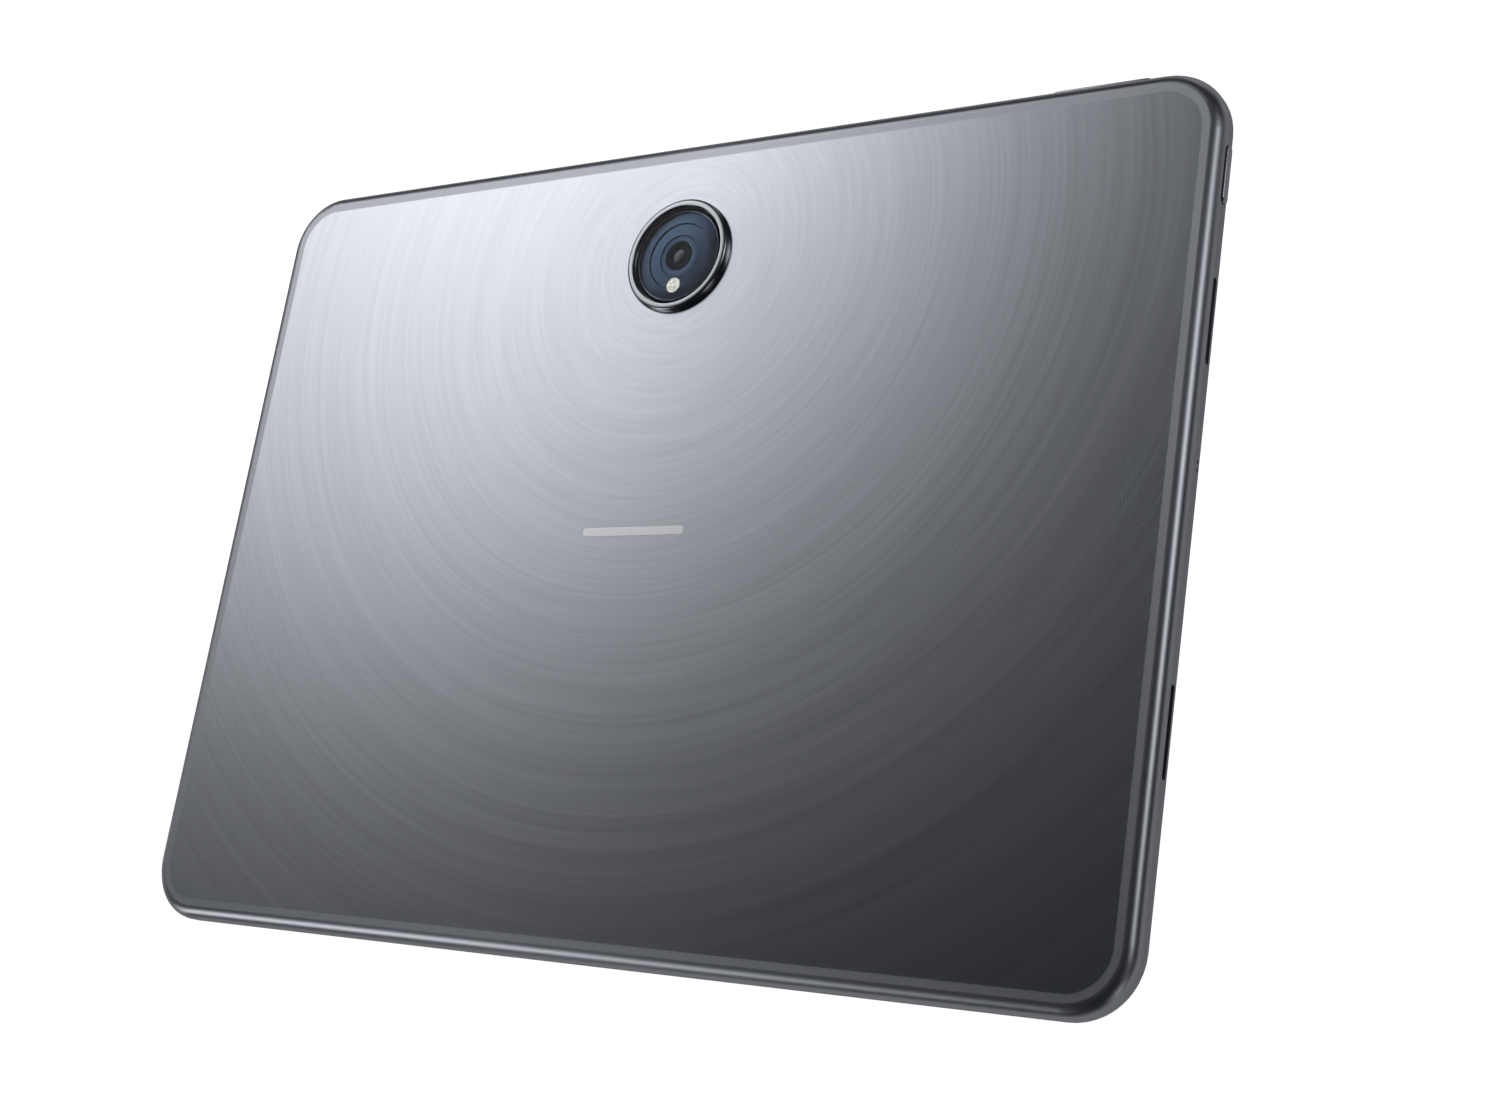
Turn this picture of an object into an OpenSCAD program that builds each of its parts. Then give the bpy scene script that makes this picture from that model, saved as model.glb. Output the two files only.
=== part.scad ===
// Tablet computer, lying on its screen with the metal back up.
// Origin: centre of the screen face. +X: the short side with the power button.
// +Y: the long side nearest the camera. +Z: out of the back. All sizes in mm.

/* [Body] */
// Length of the body along X
body_l = 258.0; // [225:1:320]
// Width of the body along Y
body_w = 189.4; // [170:1:240]
// Thickness of the body, without the camera
body_t = 6.54; // [6.5:0.1:9]
// Radius of the four corners in plan
corner_r = 14; // [11.5:0.5:17]
// Radius of the edge between the back and the sides
back_edge_r = 3.0; // [2:0.1:3.3]
// Radius of the edge between the sides and the screen
front_edge_r = 2.0; // [1.6:0.1:2.4]
// Thickness of the metal back
back_wall = 0.8; // [0.7:0.05:1]
// Thickness of the metal sides
side_wall = 3.5; // [3.3:0.1:4]

/* [Screen] */
// Width of the dark border around the picture
bezel = 9.0; // [8.5:0.5:12]
// Thickness of the cover glass
glass_t = 0.7; // [0.55:0.05:0.8]
// Thickness of the picture panel
panel_t = 0.8; // [0.6:0.05:0.9]

/* [Camera] */
// Distance from the long edge to the centre of the camera
camera_edge = 28.9; // [26:0.1:33]
// Outer radius of the camera ring
ring_r = 13.8; // [13.2:0.02:16.6]
// Height of the camera ring above the back
ring_h = 1.46; // [1.3:0.02:1.8]
// Radius of the lens barrel
barrel_r = 3.3; // [2.8:0.1:3.8]
// Focus travel of the lens barrel
focus_travel = 0.25; // [0.1:0.05:0.3]
// Distance from the lens to the flash
flash_offset = 7.3; // [7.2:0.1:7.6]
// Radius of the flash lens
flash_r = 1.85; // [1.5:0.05:1.9]

/* [Keys] */
// Length of the power button
power_len = 12.4; // [9:0.2:15]
// Distance from the long edge to the centre of the power button
power_edge = 23.2; // [22:0.1:25]
// Length of the volume rocker
rocker_len = 22; // [18:0.5:26.5]
// Distance from the short edge to the centre of the volume rocker
rocker_edge = 29; // [28.5:0.5:34]
// Height of the keys
key_h = 2.2; // [1.6:0.1:2.4]
// How far the keys stand out of the side
key_proud = 0.45; // [0.3:0.05:0.6]
// How far the power button can be pressed
key_travel = 0.25; // [0.15:0.05:0.25]

/* [Openings] */
// Length of each speaker slot
slot_len = 18; // [14:0.5:22]
// Height of each speaker slot
slot_h = 1.5; // [1.1:0.1:1.8]
// Distance between the two slots on one side
slot_spacing = 81.2; // [72:0.2:84]
// Distance between the dock contacts
dock_pitch = 4.65; // [3.5:0.05:5.5]

/* [Inside] */
// Depth of the charging port
port_depth = 7.2; // [6.4:0.1:7.3]
// Gap between the two battery cells
cell_gap = 5; // [4:0.5:10]
// Length of each speaker box along the side
speaker_len = 36; // [30:1:38]

/* [Hidden] */
$fn = 96;
eps = 0.01;

half_l = body_l / 2;
half_w = body_w / 2;

// Fits and clearances
glass_gap = 0.1;       // around the cover glass in its seat
key_gap = 0.12;        // around a key in its slot
fit_gap = 0.05;        // around a piece set in a pocket
slide_gap = 0.1;       // around the lens barrel
stop_gap = 0.03;       // between a key's flange and the wall at rest

// Levels of the layers, from the screen face up to the back
lip_z = 0.1;
mask_t = 0.1;
mask_z = glass_t;
sheet_z = mask_z + mask_t;
sheet_t = 0.15;
panel_z = sheet_z + sheet_t;
ledge_z = sheet_z + 0.3;
guide_t = 0.8;
guide_z = panel_z + panel_t;
tray_t = 0.2;
tray_z = guide_z + guide_t;
cable_t = 0.1;
cable_z = tray_z + tray_t + fit_gap;
pack_z = cable_z + cable_t + fit_gap;
inner_back_z = body_t - back_wall;
side_z = body_t / 2 - 0.07;

// Cavity inside the housing
cavity_l = body_l - 2 * side_wall;
cavity_w = body_w - 2 * side_wall;
cavity_r = corner_r - side_wall;
seat_inset = 1.5;
glass_l = body_l - 2 * (seat_inset + glass_gap);
glass_w = body_w - 2 * (seat_inset + glass_gap);
glass_r = corner_r - seat_inset - glass_gap;

// Screen module
active_l = body_l - 2 * bezel;
active_w = body_w - 2 * bezel;
panel_border = 1.2;
panel_l = active_l + 2 * panel_border;
panel_w = active_w + 2 * panel_border;
rim_t = 0.3;
led_strip_w = 1.4;
led_count = 30;
led_l = 3;
mask_edge = 0.2;
front_camera_hole_r = 1.3;
front_camera_l = 5.2;
front_camera_top_z = 4.4;
front_barrel_r = 1.6;
front_lens_r = 1.1;
front_lens_t = 0.5;
light_sensor_x = 14;
light_sensor_hole_r = 0.6;
light_sensor_size = [2.8, 2, 0.8];

// Camera
camera_y = half_w - camera_edge;
ring_wall_slope = 0.4;
lens_window_r = ring_r - 1.75;
camera_glass_r = lens_window_r - glass_gap;
camera_glass_t = 0.8;
ring_top_z = body_t + ring_h;
camera_glass_z = ring_top_z - 0.1 - camera_glass_t;
camera_tape_t = 0.1;
ring_shelf_z = camera_glass_z - camera_tape_t;
trim_r = camera_glass_r - 1.1;
trim_t = 0.45;
ring_lip_z = ring_shelf_z - trim_t - fit_gap;
ring_lip_r = trim_r - 0.85;
ring_skirt_r = ring_r - 1.3;
ring_skirt_z = inner_back_z - 0.3;
module_w = 9.6;
module_z = 3.7;
module_h = ring_lip_z - 0.1 - module_z;
sensor_t = 0.4;
barrel_top_z = camera_glass_z - focus_travel - 0.12;
barrel_z = module_z + sensor_t + 0.3;
camera_board_t = 0.4;
flash_tube_wall = 0.5;
flash_tube_z = module_z + 1.7;
flash_led_t = 0.7;
flash_lens_gap = 0.1;
flash_glass_gap = 0.05;
trim_bore_r = barrel_r + 0.3;
trim_groove_w = 0.5;
trim_groove_t = 0.15;
trim_groove_rs = [barrel_r + 1.0, trim_r - 1.2];
trim_bridge = [6, 8];
lens_r = 2.0;
lens_t = 0.6;
lens_recess = 0.25;
lens_well_r = 1.3;
barrel_base_r = 2.4;
barrel_base_h = 0.6;
sensor_l = 6.6;
sensor_w = 5.6;
sensor_gap = 0.3;
camera_tail_w = 5;
camera_tail_t = 0.15;

// Keys in the side walls
key_wall = 1.2;
key_flange_t = 0.6;
key_flange_end = 1.2;
key_flange_h = key_h + 0.5;
pocket_h = key_flange_h + 0.3;
nub_r = 0.8;
nub_h = 0.25;
switch_t = 0.6;
switch_gap = 0.05;
bracket_t = 0.3;
bracket_h = 2.6;
bracket_foot = 2;
strip_w = 1.2;
strip_gap = 0.02;
power_y = half_w - power_edge;
rocker_x = half_l - rocker_edge;
rocker_nub_x = rocker_len / 2 - 3.5;
rocker_flange_len = 6;
rocker_stop_gap = 0.1;
switch_l = 3.6;
switch_h = 2.4;
switch_dome_r = 0.9;
switch_dome_t = 0.2;
power_switch_x = half_l - key_wall - stop_gap - key_flange_t - nub_h - key_travel - switch_gap;
rocker_flange_y = half_w - key_wall - rocker_stop_gap;
rocker_switch_y = rocker_flange_y - key_flange_t - nub_h - key_travel - switch_gap;

// Circuit boards
pcb_t = 0.7;
cover_t = 0.2;
screw_head_t = 0.4;
cover_z = pack_z + screw_head_t;
pcb_z = cover_z + cover_t;
boss_r = 1.6;
screw_r = 0.6;
screw_hole_r = screw_r + fit_gap;
screw_head_r = 1.3;
chip_t = 0.9;
can_t = inner_back_z - pcb_z - pcb_t - 0.3;
can_wall = 0.2;
pad_t = inner_back_z - pcb_z - pcb_t - can_t;
board_x0 = -75;
board_x1 = half_l - 32;
board_y0 = camera_y - 28.5;
board_y1 = half_w - 7.7;
board_notch = 32;
board_bridge = 13;
board_holes = [
    [board_x0 + 4, board_y0 + 4], [board_x0 + 4, board_y1 - 4], [-20, board_y1 - 4],
    [20, board_y1 - 4], [board_x1 - 4, board_y0 + 4], [board_x1 - 4, board_y1 - 4]
];
can_y = (board_y0 + board_bridge + board_y1) / 2;
can_w = 20;
processor_can_xs = [30, 72];
radio_can_xs = [-66, -30];
processor_xs = [36, 50];
memory_xs = [54, 66];
processor_w = 14;
memory_w = 12;
pad_w = 16;
connector_l = 12;
connector_w = 3;
connector_t = 0.8;
connector_xs = [-62, -44, 22, 38, 54];
display_cable_x = board_x1 - 45;
display_cable_w = 22;
usb_cable_w = 6;
usb_end_x = board_x0 + 10;
usb_end_y = board_y0 + 8;

// Battery
cell_side = half_l - 32;
cell_y0 = -half_w + 8.7;
cell_y1 = board_y0 - 5.5;
cell_r = 2;
cell_tape_t = 0.19;
cell_tape_w = 16;
cell_h = inner_back_z - cell_tape_t - pack_z;
cell_l = cell_side - cell_gap / 2;

// Speakers
speaker_w = 24;
speaker_x = cavity_l / 2 - 1.4 - speaker_w / 2;
speaker_y = slot_spacing / 2;
speaker_h = inner_back_z - pack_z - 0.1;
mesh_t = 0.15;

// Charging port
port_w = 8.94;
port_h = 3.16;
port_wall = 0.3;
tongue_w = 6.69;
tongue_t = 0.7;
tongue_base_l = 0.8;
port_x0 = -half_l + 0.15;
port_x1 = port_x0 + port_depth;
usb_board_l = 24;
usb_board_w = 30;
usb_board_x0 = -cavity_l / 2 + 0.3;
usb_board_x1 = usb_board_x0 + usb_board_l;
usb_holes = [[usb_board_x1 - 3, -11], [usb_board_x1 - 3, 11]];

// Dock contacts, microphone and inlay
dock_x = -1.6;
dock_z = side_z - 0.7;
dock_pad = [2.0, 1.4];
dock_recess = 0.12;
mic_ys = [12.0, 10.4];
mic_hole_r = 0.35;
mic_z = side_z - 0.7;
inlay = [28, 2.2];
inlay_depth = 0.3;

// Magnets, coil and antennas in the gap between the screen module and the long walls
gap_y0 = panel_w / 2 + rim_t + 0.2;
gap_y1 = cavity_w / 2 - 0.2;
gap_y = (gap_y0 + gap_y1) / 2;
magnet_z = ledge_z + 0.8;
magnet_h = 2.8;
magnet_l = 12;
upper_magnet_xs = [-40, -26, 30, 44];
lower_magnet_xs = [-58, -44, -30, 30, 44, 58];
coil_xs = [-72, -50];
coil_core_xs = [-68, -54];
antenna_xs = [72, 108];
antenna_h = 1.6;

module rounded_rect(l, w, r) {
    square([l - 2 * r, w], center = true);
    square([l, w - 2 * r], center = true);
    for (sx = [-1, 1], sy = [-1, 1])
        translate([sx * (l / 2 - r), sy * (w / 2 - r)]) circle(r);
}

module plate(l, w, r, z, t) {
    translate([0, 0, z]) linear_extrude(t) rounded_rect(l, w, r);
}

module block(x0, y0, z0, x1, y1, z1) {
    translate([x0, y0, z0]) cube([x1 - x0, y1 - y0, z1 - z0]);
}

// A bar with round ends, its length along Y, seen along X: from x0 to x1
module bar_x(x0, x1, y, z, len, h) {
    translate([x0, y, z]) rotate([90, 0, 90]) linear_extrude(x1 - x0)
        rounded_rect(len, h, h / 2 - eps);
}

// A bar with round ends, its length along X, seen along Y: from y0 to y1
module bar_y(y0, y1, x, z, len, h) {
    translate([x, y1, z]) rotate([90, 0, 0]) linear_extrude(y1 - y0)
        rounded_rect(len, h, h / 2 - eps);
}

// Outline of the housing's edge, in a plane through a corner's axis
module edge_profile() {
    translate([0, lip_z]) square([corner_r - back_edge_r, body_t - lip_z]);
    translate([0, lip_z]) square([corner_r - front_edge_r, body_t / 2 - lip_z]);
    translate([0, lip_z + front_edge_r])
        square([corner_r, body_t - back_edge_r - lip_z - front_edge_r]);
    translate([corner_r - back_edge_r, body_t - back_edge_r]) circle(back_edge_r);
    translate([corner_r - front_edge_r, lip_z + front_edge_r]) circle(front_edge_r);
}

module housing_solid() {
    cx = half_l - corner_r;
    cy = half_w - corner_r;
    translate([-cx, -cy, lip_z]) cube([2 * cx, 2 * cy, body_t - lip_z]);
    for (m = [0, 1]) {
        mirror([m, 0, 0]) translate([cx, cy, 0]) rotate([90, 0, 0])
            linear_extrude(2 * cy) edge_profile();
        mirror([0, m, 0]) translate([-cx, cy, 0]) rotate([90, 0, 90])
            linear_extrude(2 * cx) edge_profile();
    }
    for (i = [0 : 3]) {
        sx = (i == 0 || i == 3) ? 1 : -1;
        sy = (i < 2) ? 1 : -1;
        translate([sx * cx, sy * cy, 0]) rotate([0, 0, 90 * i])
            rotate_extrude(angle = 90) edge_profile();
    }
}

module slot_cutters() {
    for (sx = [-1, 1], sy = [-1, 1])
        bar_x(sx > 0 ? half_l - side_wall - 1 : -half_l - 1, sx > 0 ? half_l + 1 : -half_l + side_wall + 1,
              sy * speaker_y, side_z, slot_len, slot_h);
}

module key_cutters() {
    pocket_l = power_len + 2 * key_flange_end + 1.2;
    bar_x(half_l - side_wall, half_l + 1, power_y, side_z, power_len + 2 * key_gap, key_h + 2 * key_gap);
    block(half_l - side_wall - 1, power_y - pocket_l / 2, side_z - pocket_h / 2,
          half_l - key_wall, power_y + pocket_l / 2, side_z + pocket_h / 2);
    pocket_w = rocker_len + 2;
    bar_y(half_w - side_wall, half_w + 1, rocker_x, side_z, rocker_len + 2 * key_gap, key_h + 2 * key_gap);
    block(rocker_x - pocket_w / 2, half_w - side_wall - 1, side_z - pocket_h / 2,
          rocker_x + pocket_w / 2, half_w - key_wall, side_z + pocket_h / 2);
}

module bosses(holes) {
    for (p = holes)
        translate([p[0], p[1], pcb_z + pcb_t]) difference() {
            cylinder(h = inner_back_z - pcb_z - pcb_t + eps, r = boss_r);
            translate([0, 0, -1]) cylinder(h = inner_back_z - pcb_z - pcb_t + 1 - 0.1, r = screw_hole_r);
        }
}

module battery_ribs() {
    rib_t = 0.8;
    rib_h = 1.6;
    z0 = inner_back_z - rib_h;
    for (sx = [-1, 1])
        block(sx > 0 ? cell_side + 0.4 : -cell_side - 0.4 - rib_t, cell_y0 + 4, z0,
              sx > 0 ? cell_side + 0.4 + rib_t : -cell_side - 0.4, cell_y1 - 4, inner_back_z + eps);
    block(-rib_t / 2, cell_y0 + 4, z0, rib_t / 2, cell_y1 - 4, inner_back_z + eps);
    block(-cell_side + 6, cell_y0 - 0.4 - rib_t, z0, cell_side - 6, cell_y0 - 0.4, inner_back_z + eps);
}

module rear_housing() {
    color("#5d6067") {
        difference() {
            housing_solid();
            plate(body_l - 2 * seat_inset, body_w - 2 * seat_inset, corner_r - seat_inset, -1, ledge_z + 1);
            plate(cavity_l, cavity_w, cavity_r, 0, inner_back_z);
            translate([0, camera_y, inner_back_z - 1]) cylinder(h = 3, r = ring_skirt_r + fit_gap);
            plate(inlay[0], inlay[1], inlay[1] / 2 - eps, body_t - inlay_depth, 1);
            slot_cutters();
            key_cutters();
            bar_x(-half_l - 1, -half_l + side_wall + 1, 0, side_z,
                  port_w + 2 * fit_gap, port_h + 2 * fit_gap);
            for (y = mic_ys)
                translate([half_l - side_wall - 1, y, mic_z]) rotate([0, 90, 0])
                    cylinder(h = side_wall + 2, r = mic_hole_r);
            for (i = [-1 : 1])
                bar_y(-half_w - 1, -half_w + side_wall + 1, dock_x + i * dock_pitch, dock_z,
                      dock_pad[0] + 2 * fit_gap, dock_pad[1] + 2 * fit_gap);
        }
        bosses(board_holes);
        bosses(usb_holes);
        battery_ribs();
    }
}

module back_inlay() {
    color("#c9ccd2")
        plate(inlay[0] - 2 * fit_gap, inlay[1] - 2 * fit_gap, inlay[1] / 2 - fit_gap - eps,
              body_t - inlay_depth, inlay_depth);
}

module camera_ring() {
    color("#b4b8c0") translate([0, camera_y, 0]) rotate_extrude() difference() {
        union() {
            translate([0, ring_skirt_z]) square([ring_skirt_r, body_t - ring_skirt_z]);
            polygon([
                [0, body_t], [ring_r, body_t], [ring_r, body_t + 0.25],
                [ring_r - ring_wall_slope, ring_top_z - 0.15],
                [ring_r - ring_wall_slope - 0.15, ring_top_z], [0, ring_top_z]
            ]);
        }
        translate([-1, ring_skirt_z - 1]) square([ring_lip_r + 1, ring_h + body_t]);
        translate([-1, ring_lip_z]) square([trim_r + fit_gap + 1, ring_h + body_t]);
        translate([-1, ring_shelf_z]) square([lens_window_r + 1, ring_h + body_t]);
    }
}

module camera_cover_glass() {
    color("#1b2431") translate([0, camera_y, camera_glass_z])
        cylinder(h = camera_glass_t, r = camera_glass_r);
}

module camera_glass_tape() {
    color("#101114") translate([0, camera_y, ring_shelf_z]) difference() {
        cylinder(h = camera_tape_t, r = camera_glass_r - 0.1);
        translate([0, 0, -1]) cylinder(h = 3, r = trim_r + 0.15);
    }
}

module camera_trim_disc() {
    color("#2c3c4f") translate([0, camera_y, 0]) difference() {
        union() {
            translate([0, 0, ring_lip_z]) cylinder(h = trim_t, r = trim_r);
            translate([0, -flash_offset, flash_tube_z])
                cylinder(h = ring_lip_z - flash_tube_z + eps, r = flash_r + fit_gap + flash_tube_wall);
        }
        cylinder(h = 10, r = trim_bore_r);
        translate([0, -flash_offset, 0]) cylinder(h = 10, r = flash_r + fit_gap);
        for (r = trim_groove_rs)
            translate([0, 0, ring_lip_z + trim_t - trim_groove_t]) difference() {
                cylinder(h = 1, r = r + trim_groove_w);
                translate([0, 0, -1]) cylinder(h = 3, r = r);
                translate([-trim_bridge[0] / 2, -flash_offset - trim_bridge[1] / 2, -1])
                    cube([trim_bridge[0], trim_bridge[1], 3]);
            }
    }
}

module camera_housing() {
    color("#17181b") translate([0, camera_y, 0]) difference() {
        plate(module_w, module_w, 0.8, module_z, module_h);
        translate([0, 0, module_z]) cylinder(h = 10, r = barrel_r + slide_gap);
        translate([-sensor_l / 2 - sensor_gap, -sensor_w / 2 - sensor_gap, module_z - 1])
            cube([sensor_l + 2 * sensor_gap, sensor_w + 2 * sensor_gap, 1 + sensor_t + 0.2]);
    }
}

module lens_barrel() {
    color("#0e0f12") translate([0, camera_y, 0]) difference() {
        translate([0, 0, barrel_z]) cylinder(h = barrel_top_z - barrel_z, r = barrel_r);
        translate([0, 0, barrel_z - 1]) cylinder(h = 1 + barrel_base_h, r = barrel_base_r);
        translate([0, 0, barrel_z]) cylinder(h = 10, r = lens_well_r);
        translate([0, 0, barrel_top_z - lens_recess - lens_t]) cylinder(h = 3, r = lens_r + fit_gap);
    }
}

module lens_front_element() {
    color("#27394f") translate([0, camera_y, barrel_top_z - lens_recess - lens_t])
        cylinder(h = lens_t, r = lens_r);
}

module image_sensor() {
    color("#38424a") block(-sensor_l / 2, camera_y - sensor_w / 2, module_z,
                           sensor_l / 2, camera_y + sensor_w / 2, module_z + sensor_t);
}

module camera_board() {
    z0 = module_z - camera_board_t;
    color("#4a3a1c") {
        block(-module_w / 2, camera_y - module_w / 2, z0, module_w / 2, camera_y + module_w / 2, module_z);
        block(module_w / 2 - eps, camera_y - camera_tail_w / 2, z0,
              board_notch / 2 - 0.5, camera_y + camera_tail_w / 2, z0 + camera_tail_t);
    }
}

module flash_lens() {
    z0 = flash_tube_z + flash_led_t + flash_lens_gap;
    color("#f3e9c8") translate([0, camera_y - flash_offset, z0])
        cylinder(h = camera_glass_z - flash_glass_gap - z0, r = flash_r);
}

module flash_led() {
    color("#f0d060") translate([0, camera_y - flash_offset, flash_tube_z])
        cylinder(h = flash_led_t, r = flash_r);
}

module cover_glass() {
    color("#0a0b0d") plate(glass_l, glass_w, glass_r, 0, glass_t);
}

module bezel_mask() {
    color("#050506") difference() {
        plate(glass_l - 2 * mask_edge, glass_w - 2 * mask_edge, glass_r - mask_edge, mask_z, mask_t);
        block(-active_l / 2, -active_w / 2, 0, active_l / 2, active_w / 2, 5);
        translate([0, gap_y, 0]) cylinder(h = 5, r = front_camera_hole_r);
        translate([light_sensor_x, gap_y, 0]) cylinder(h = 5, r = light_sensor_hole_r);
    }
}

module cover_glass_tape() {
    color("#141416") difference() {
        plate(glass_l - 2 * mask_edge, glass_w - 2 * mask_edge, glass_r - mask_edge,
              sheet_z, ledge_z - sheet_z);
        plate(cavity_l + 0.2, cavity_w + 0.2, cavity_r + 0.1, 0, 5);
    }
}

module optical_adhesive() {
    color("#9fb0bd") {
        block(-active_l / 2, -active_w / 2, mask_z, active_l / 2, active_w / 2, sheet_z + eps);
        block(-panel_l / 2, -panel_w / 2, sheet_z, panel_l / 2, panel_w / 2, panel_z);
    }
}

module display_panel() {
    color("#15181d") block(-panel_l / 2, -panel_w / 2, panel_z, panel_l / 2, panel_w / 2, guide_z);
}

module light_guide() {
    color("#e8edf0") block(-panel_l / 2, -panel_w / 2 + led_strip_w, guide_z,
                           panel_l / 2, panel_w / 2, tray_z);
}

module backlight_led_strip() {
    pitch = (panel_l - 12) / (led_count - 1);
    y0 = -panel_w / 2;
    color("#e9e2a8") {
        block(-panel_l / 2 + 2, y0 + 0.05, guide_z + 0.05, panel_l / 2 - 2, y0 + 0.35, tray_z - 0.05);
        for (i = [0 : led_count - 1])
            block(-panel_l / 2 + 6 + i * pitch - led_l / 2, y0 + 0.3, guide_z + 0.15,
                  -panel_l / 2 + 6 + i * pitch + led_l / 2, y0 + led_strip_w - 0.1, tray_z - 0.15);
    }
}

module backlight_tray() {
    color("#8d9096") difference() {
        block(-panel_l / 2 - rim_t, -panel_w / 2 - rim_t, panel_z + 0.1,
              panel_l / 2 + rim_t, panel_w / 2 + rim_t, tray_z + tray_t);
        block(-panel_l / 2 - 0.05, -panel_w / 2 - 0.05, 0, panel_l / 2 + 0.05, panel_w / 2 + 0.05, tray_z);
    }
}

module display_cable() {
    x0 = display_cable_x;
    x1 = x0 + display_cable_w;
    color("#6b4a1e") {
        block(x0, camera_y - 1, cable_z, x1, panel_w / 2 - 1, cable_z + cable_t);
        block(x0 + 1, camera_y - 1, cable_z + cable_t - eps, x1 - 1, camera_y + 3, pcb_z);
    }
}

module front_camera() {
    color("#1a1b1e") difference() {
        union() {
            block(-front_camera_l / 2, gap_y0, sheet_z + 0.9, front_camera_l / 2, gap_y1, front_camera_top_z);
            translate([0, gap_y, sheet_z]) cylinder(h = 1, r = front_barrel_r);
        }
        translate([0, gap_y, 0]) cylinder(h = sheet_z + front_lens_t + 0.1, r = front_lens_r + fit_gap);
    }
}

module front_camera_lens() {
    color("#20304a") translate([0, gap_y, sheet_z + 0.1]) cylinder(h = front_lens_t, r = front_lens_r);
}

module light_sensor() {
    l = light_sensor_size[0];
    w = light_sensor_size[1];
    color("#3b4148") block(light_sensor_x - l / 2, gap_y - w / 2, sheet_z,
                           light_sensor_x + l / 2, gap_y + w / 2, sheet_z + light_sensor_size[2]);
}

module battery_cell(side) {
    cx = side * (cell_gap / 2 + cell_l / 2);
    color("#2f3238") translate([cx, (cell_y0 + cell_y1) / 2, 0])
        plate(cell_l, cell_y1 - cell_y0, cell_r, pack_z, cell_h);
}

module battery_cell_left() { battery_cell(-1); }
module battery_cell_right() { battery_cell(1); }

module battery_tape() {
    color("#d8d8d4") for (side = [-1, 1], k = [0.25, 0.75])
        translate([side * (cell_gap / 2 + cell_l * k), (cell_y0 + cell_y1) / 2, 0])
            plate(cell_tape_w, cell_y1 - cell_y0 - 10, 1, inner_back_z - cell_tape_t, cell_tape_t);
}

module battery_board() {
    color("#1f5a34") {
        block(-cell_side + 30, cell_y1 + 0.6, pcb_z, cell_side - 30, cell_y1 + 4, pcb_z + pcb_t);
        block(-8, cell_y1 + 3.9, pcb_z - 0.35, 8, board_y0 + 6, pcb_z - 0.25);
        block(-8, cell_y1 + 1, pcb_z - 0.35, 8, cell_y1 + 4, pcb_z + eps);
    }
}

module board_outline() {
    difference() {
        translate([(board_x0 + board_x1) / 2, (board_y0 + board_y1) / 2])
            rounded_rect(board_x1 - board_x0, board_y1 - board_y0, 2);
        translate([-board_notch / 2, board_y0 + board_bridge]) square([board_notch, 60]);
    }
}

module screw_holes(holes) {
    for (p = holes)
        translate([p[0], p[1], -1]) cylinder(h = 10, r = screw_hole_r + 0.1);
}

module main_board() {
    color("#1d4f33") difference() {
        translate([0, 0, pcb_z]) linear_extrude(pcb_t) board_outline();
        screw_holes(board_holes);
    }
}

module chip(xs, w) {
    color("#26282c") block(xs[0], can_y - w / 2, pcb_z + pcb_t, xs[1], can_y + w / 2, pcb_z + pcb_t + chip_t);
}

module processor() {
    chip(processor_xs, processor_w);
}

module memory_chip() {
    chip(memory_xs, memory_w);
}

module can(xs) {
    z0 = pcb_z + pcb_t;
    color("#a9adb2") difference() {
        block(xs[0], can_y - can_w / 2, z0, xs[1], can_y + can_w / 2, z0 + can_t);
        block(xs[0] + can_wall, can_y - can_w / 2 + can_wall, z0 - 1,
              xs[1] - can_wall, can_y + can_w / 2 - can_wall, z0 + can_t - can_wall);
    }
}

module processor_shield() { can(processor_can_xs); }
module radio_shield() { can(radio_can_xs); }

module board_connectors() {
    z0 = pcb_z + pcb_t;
    y0 = board_y0 + 2;
    color("#d8d2bd") for (x = connector_xs)
        block(x, y0, z0, x + connector_l, y0 + connector_w, z0 + connector_t);
}

module board_cover() {
    color("#8f9398") difference() {
        translate([0, 0, cover_z]) linear_extrude(cover_t) difference() {
            board_outline();
            translate([display_cable_x - 1, camera_y - 2]) square([display_cable_w + 2, 7]);
            translate([-9, board_y0 - 1]) square([18, 8]);
            translate([usb_end_x - 4, usb_end_y - 4]) square([12, 9]);
        }
        screw_holes(board_holes);
    }
}

module thermal_pad() {
    color("#8fb6c4") block(processor_xs[0], can_y - pad_w / 2, inner_back_z - pad_t,
                           memory_xs[1], can_y + pad_w / 2, inner_back_z);
}

module screw(x, y, head_z) {
    translate([x, y, head_z]) cylinder(h = screw_head_t, r = screw_head_r);
    translate([x, y, head_z + screw_head_t - eps])
        cylinder(h = inner_back_z - 0.2 - head_z - screw_head_t + eps, r = screw_r);
}

module board_screws() {
    color("#c4c6c9") {
        for (p = board_holes) screw(p[0], p[1], cover_z - screw_head_t);
        for (p = usb_holes) screw(p[0], p[1], pcb_z - screw_head_t);
    }
}

module power_button() {
    x1 = half_l + key_proud;
    xf = half_l - key_wall - stop_gap;
    color("#7d8189") {
        bar_x(xf - key_flange_t / 2, x1, power_y, side_z, power_len, key_h);
        block(xf - key_flange_t, power_y - power_len / 2 - key_flange_end, side_z - key_flange_h / 2,
              xf, power_y + power_len / 2 + key_flange_end, side_z + key_flange_h / 2);
        translate([xf - key_flange_t - nub_h, power_y, side_z]) rotate([0, 90, 0])
            cylinder(h = nub_h + eps, r = nub_r);
    }
}

module power_switch() {
    color("#c9a24a") {
        block(power_switch_x - switch_t, power_y - switch_l / 2, side_z - switch_h / 2,
              power_switch_x - switch_dome_t, power_y + switch_l / 2, side_z + switch_h / 2);
        translate([power_switch_x - switch_dome_t - eps, power_y, side_z]) rotate([0, 90, 0])
            cylinder(h = switch_dome_t + eps, r = switch_dome_r);
    }
}

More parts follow.
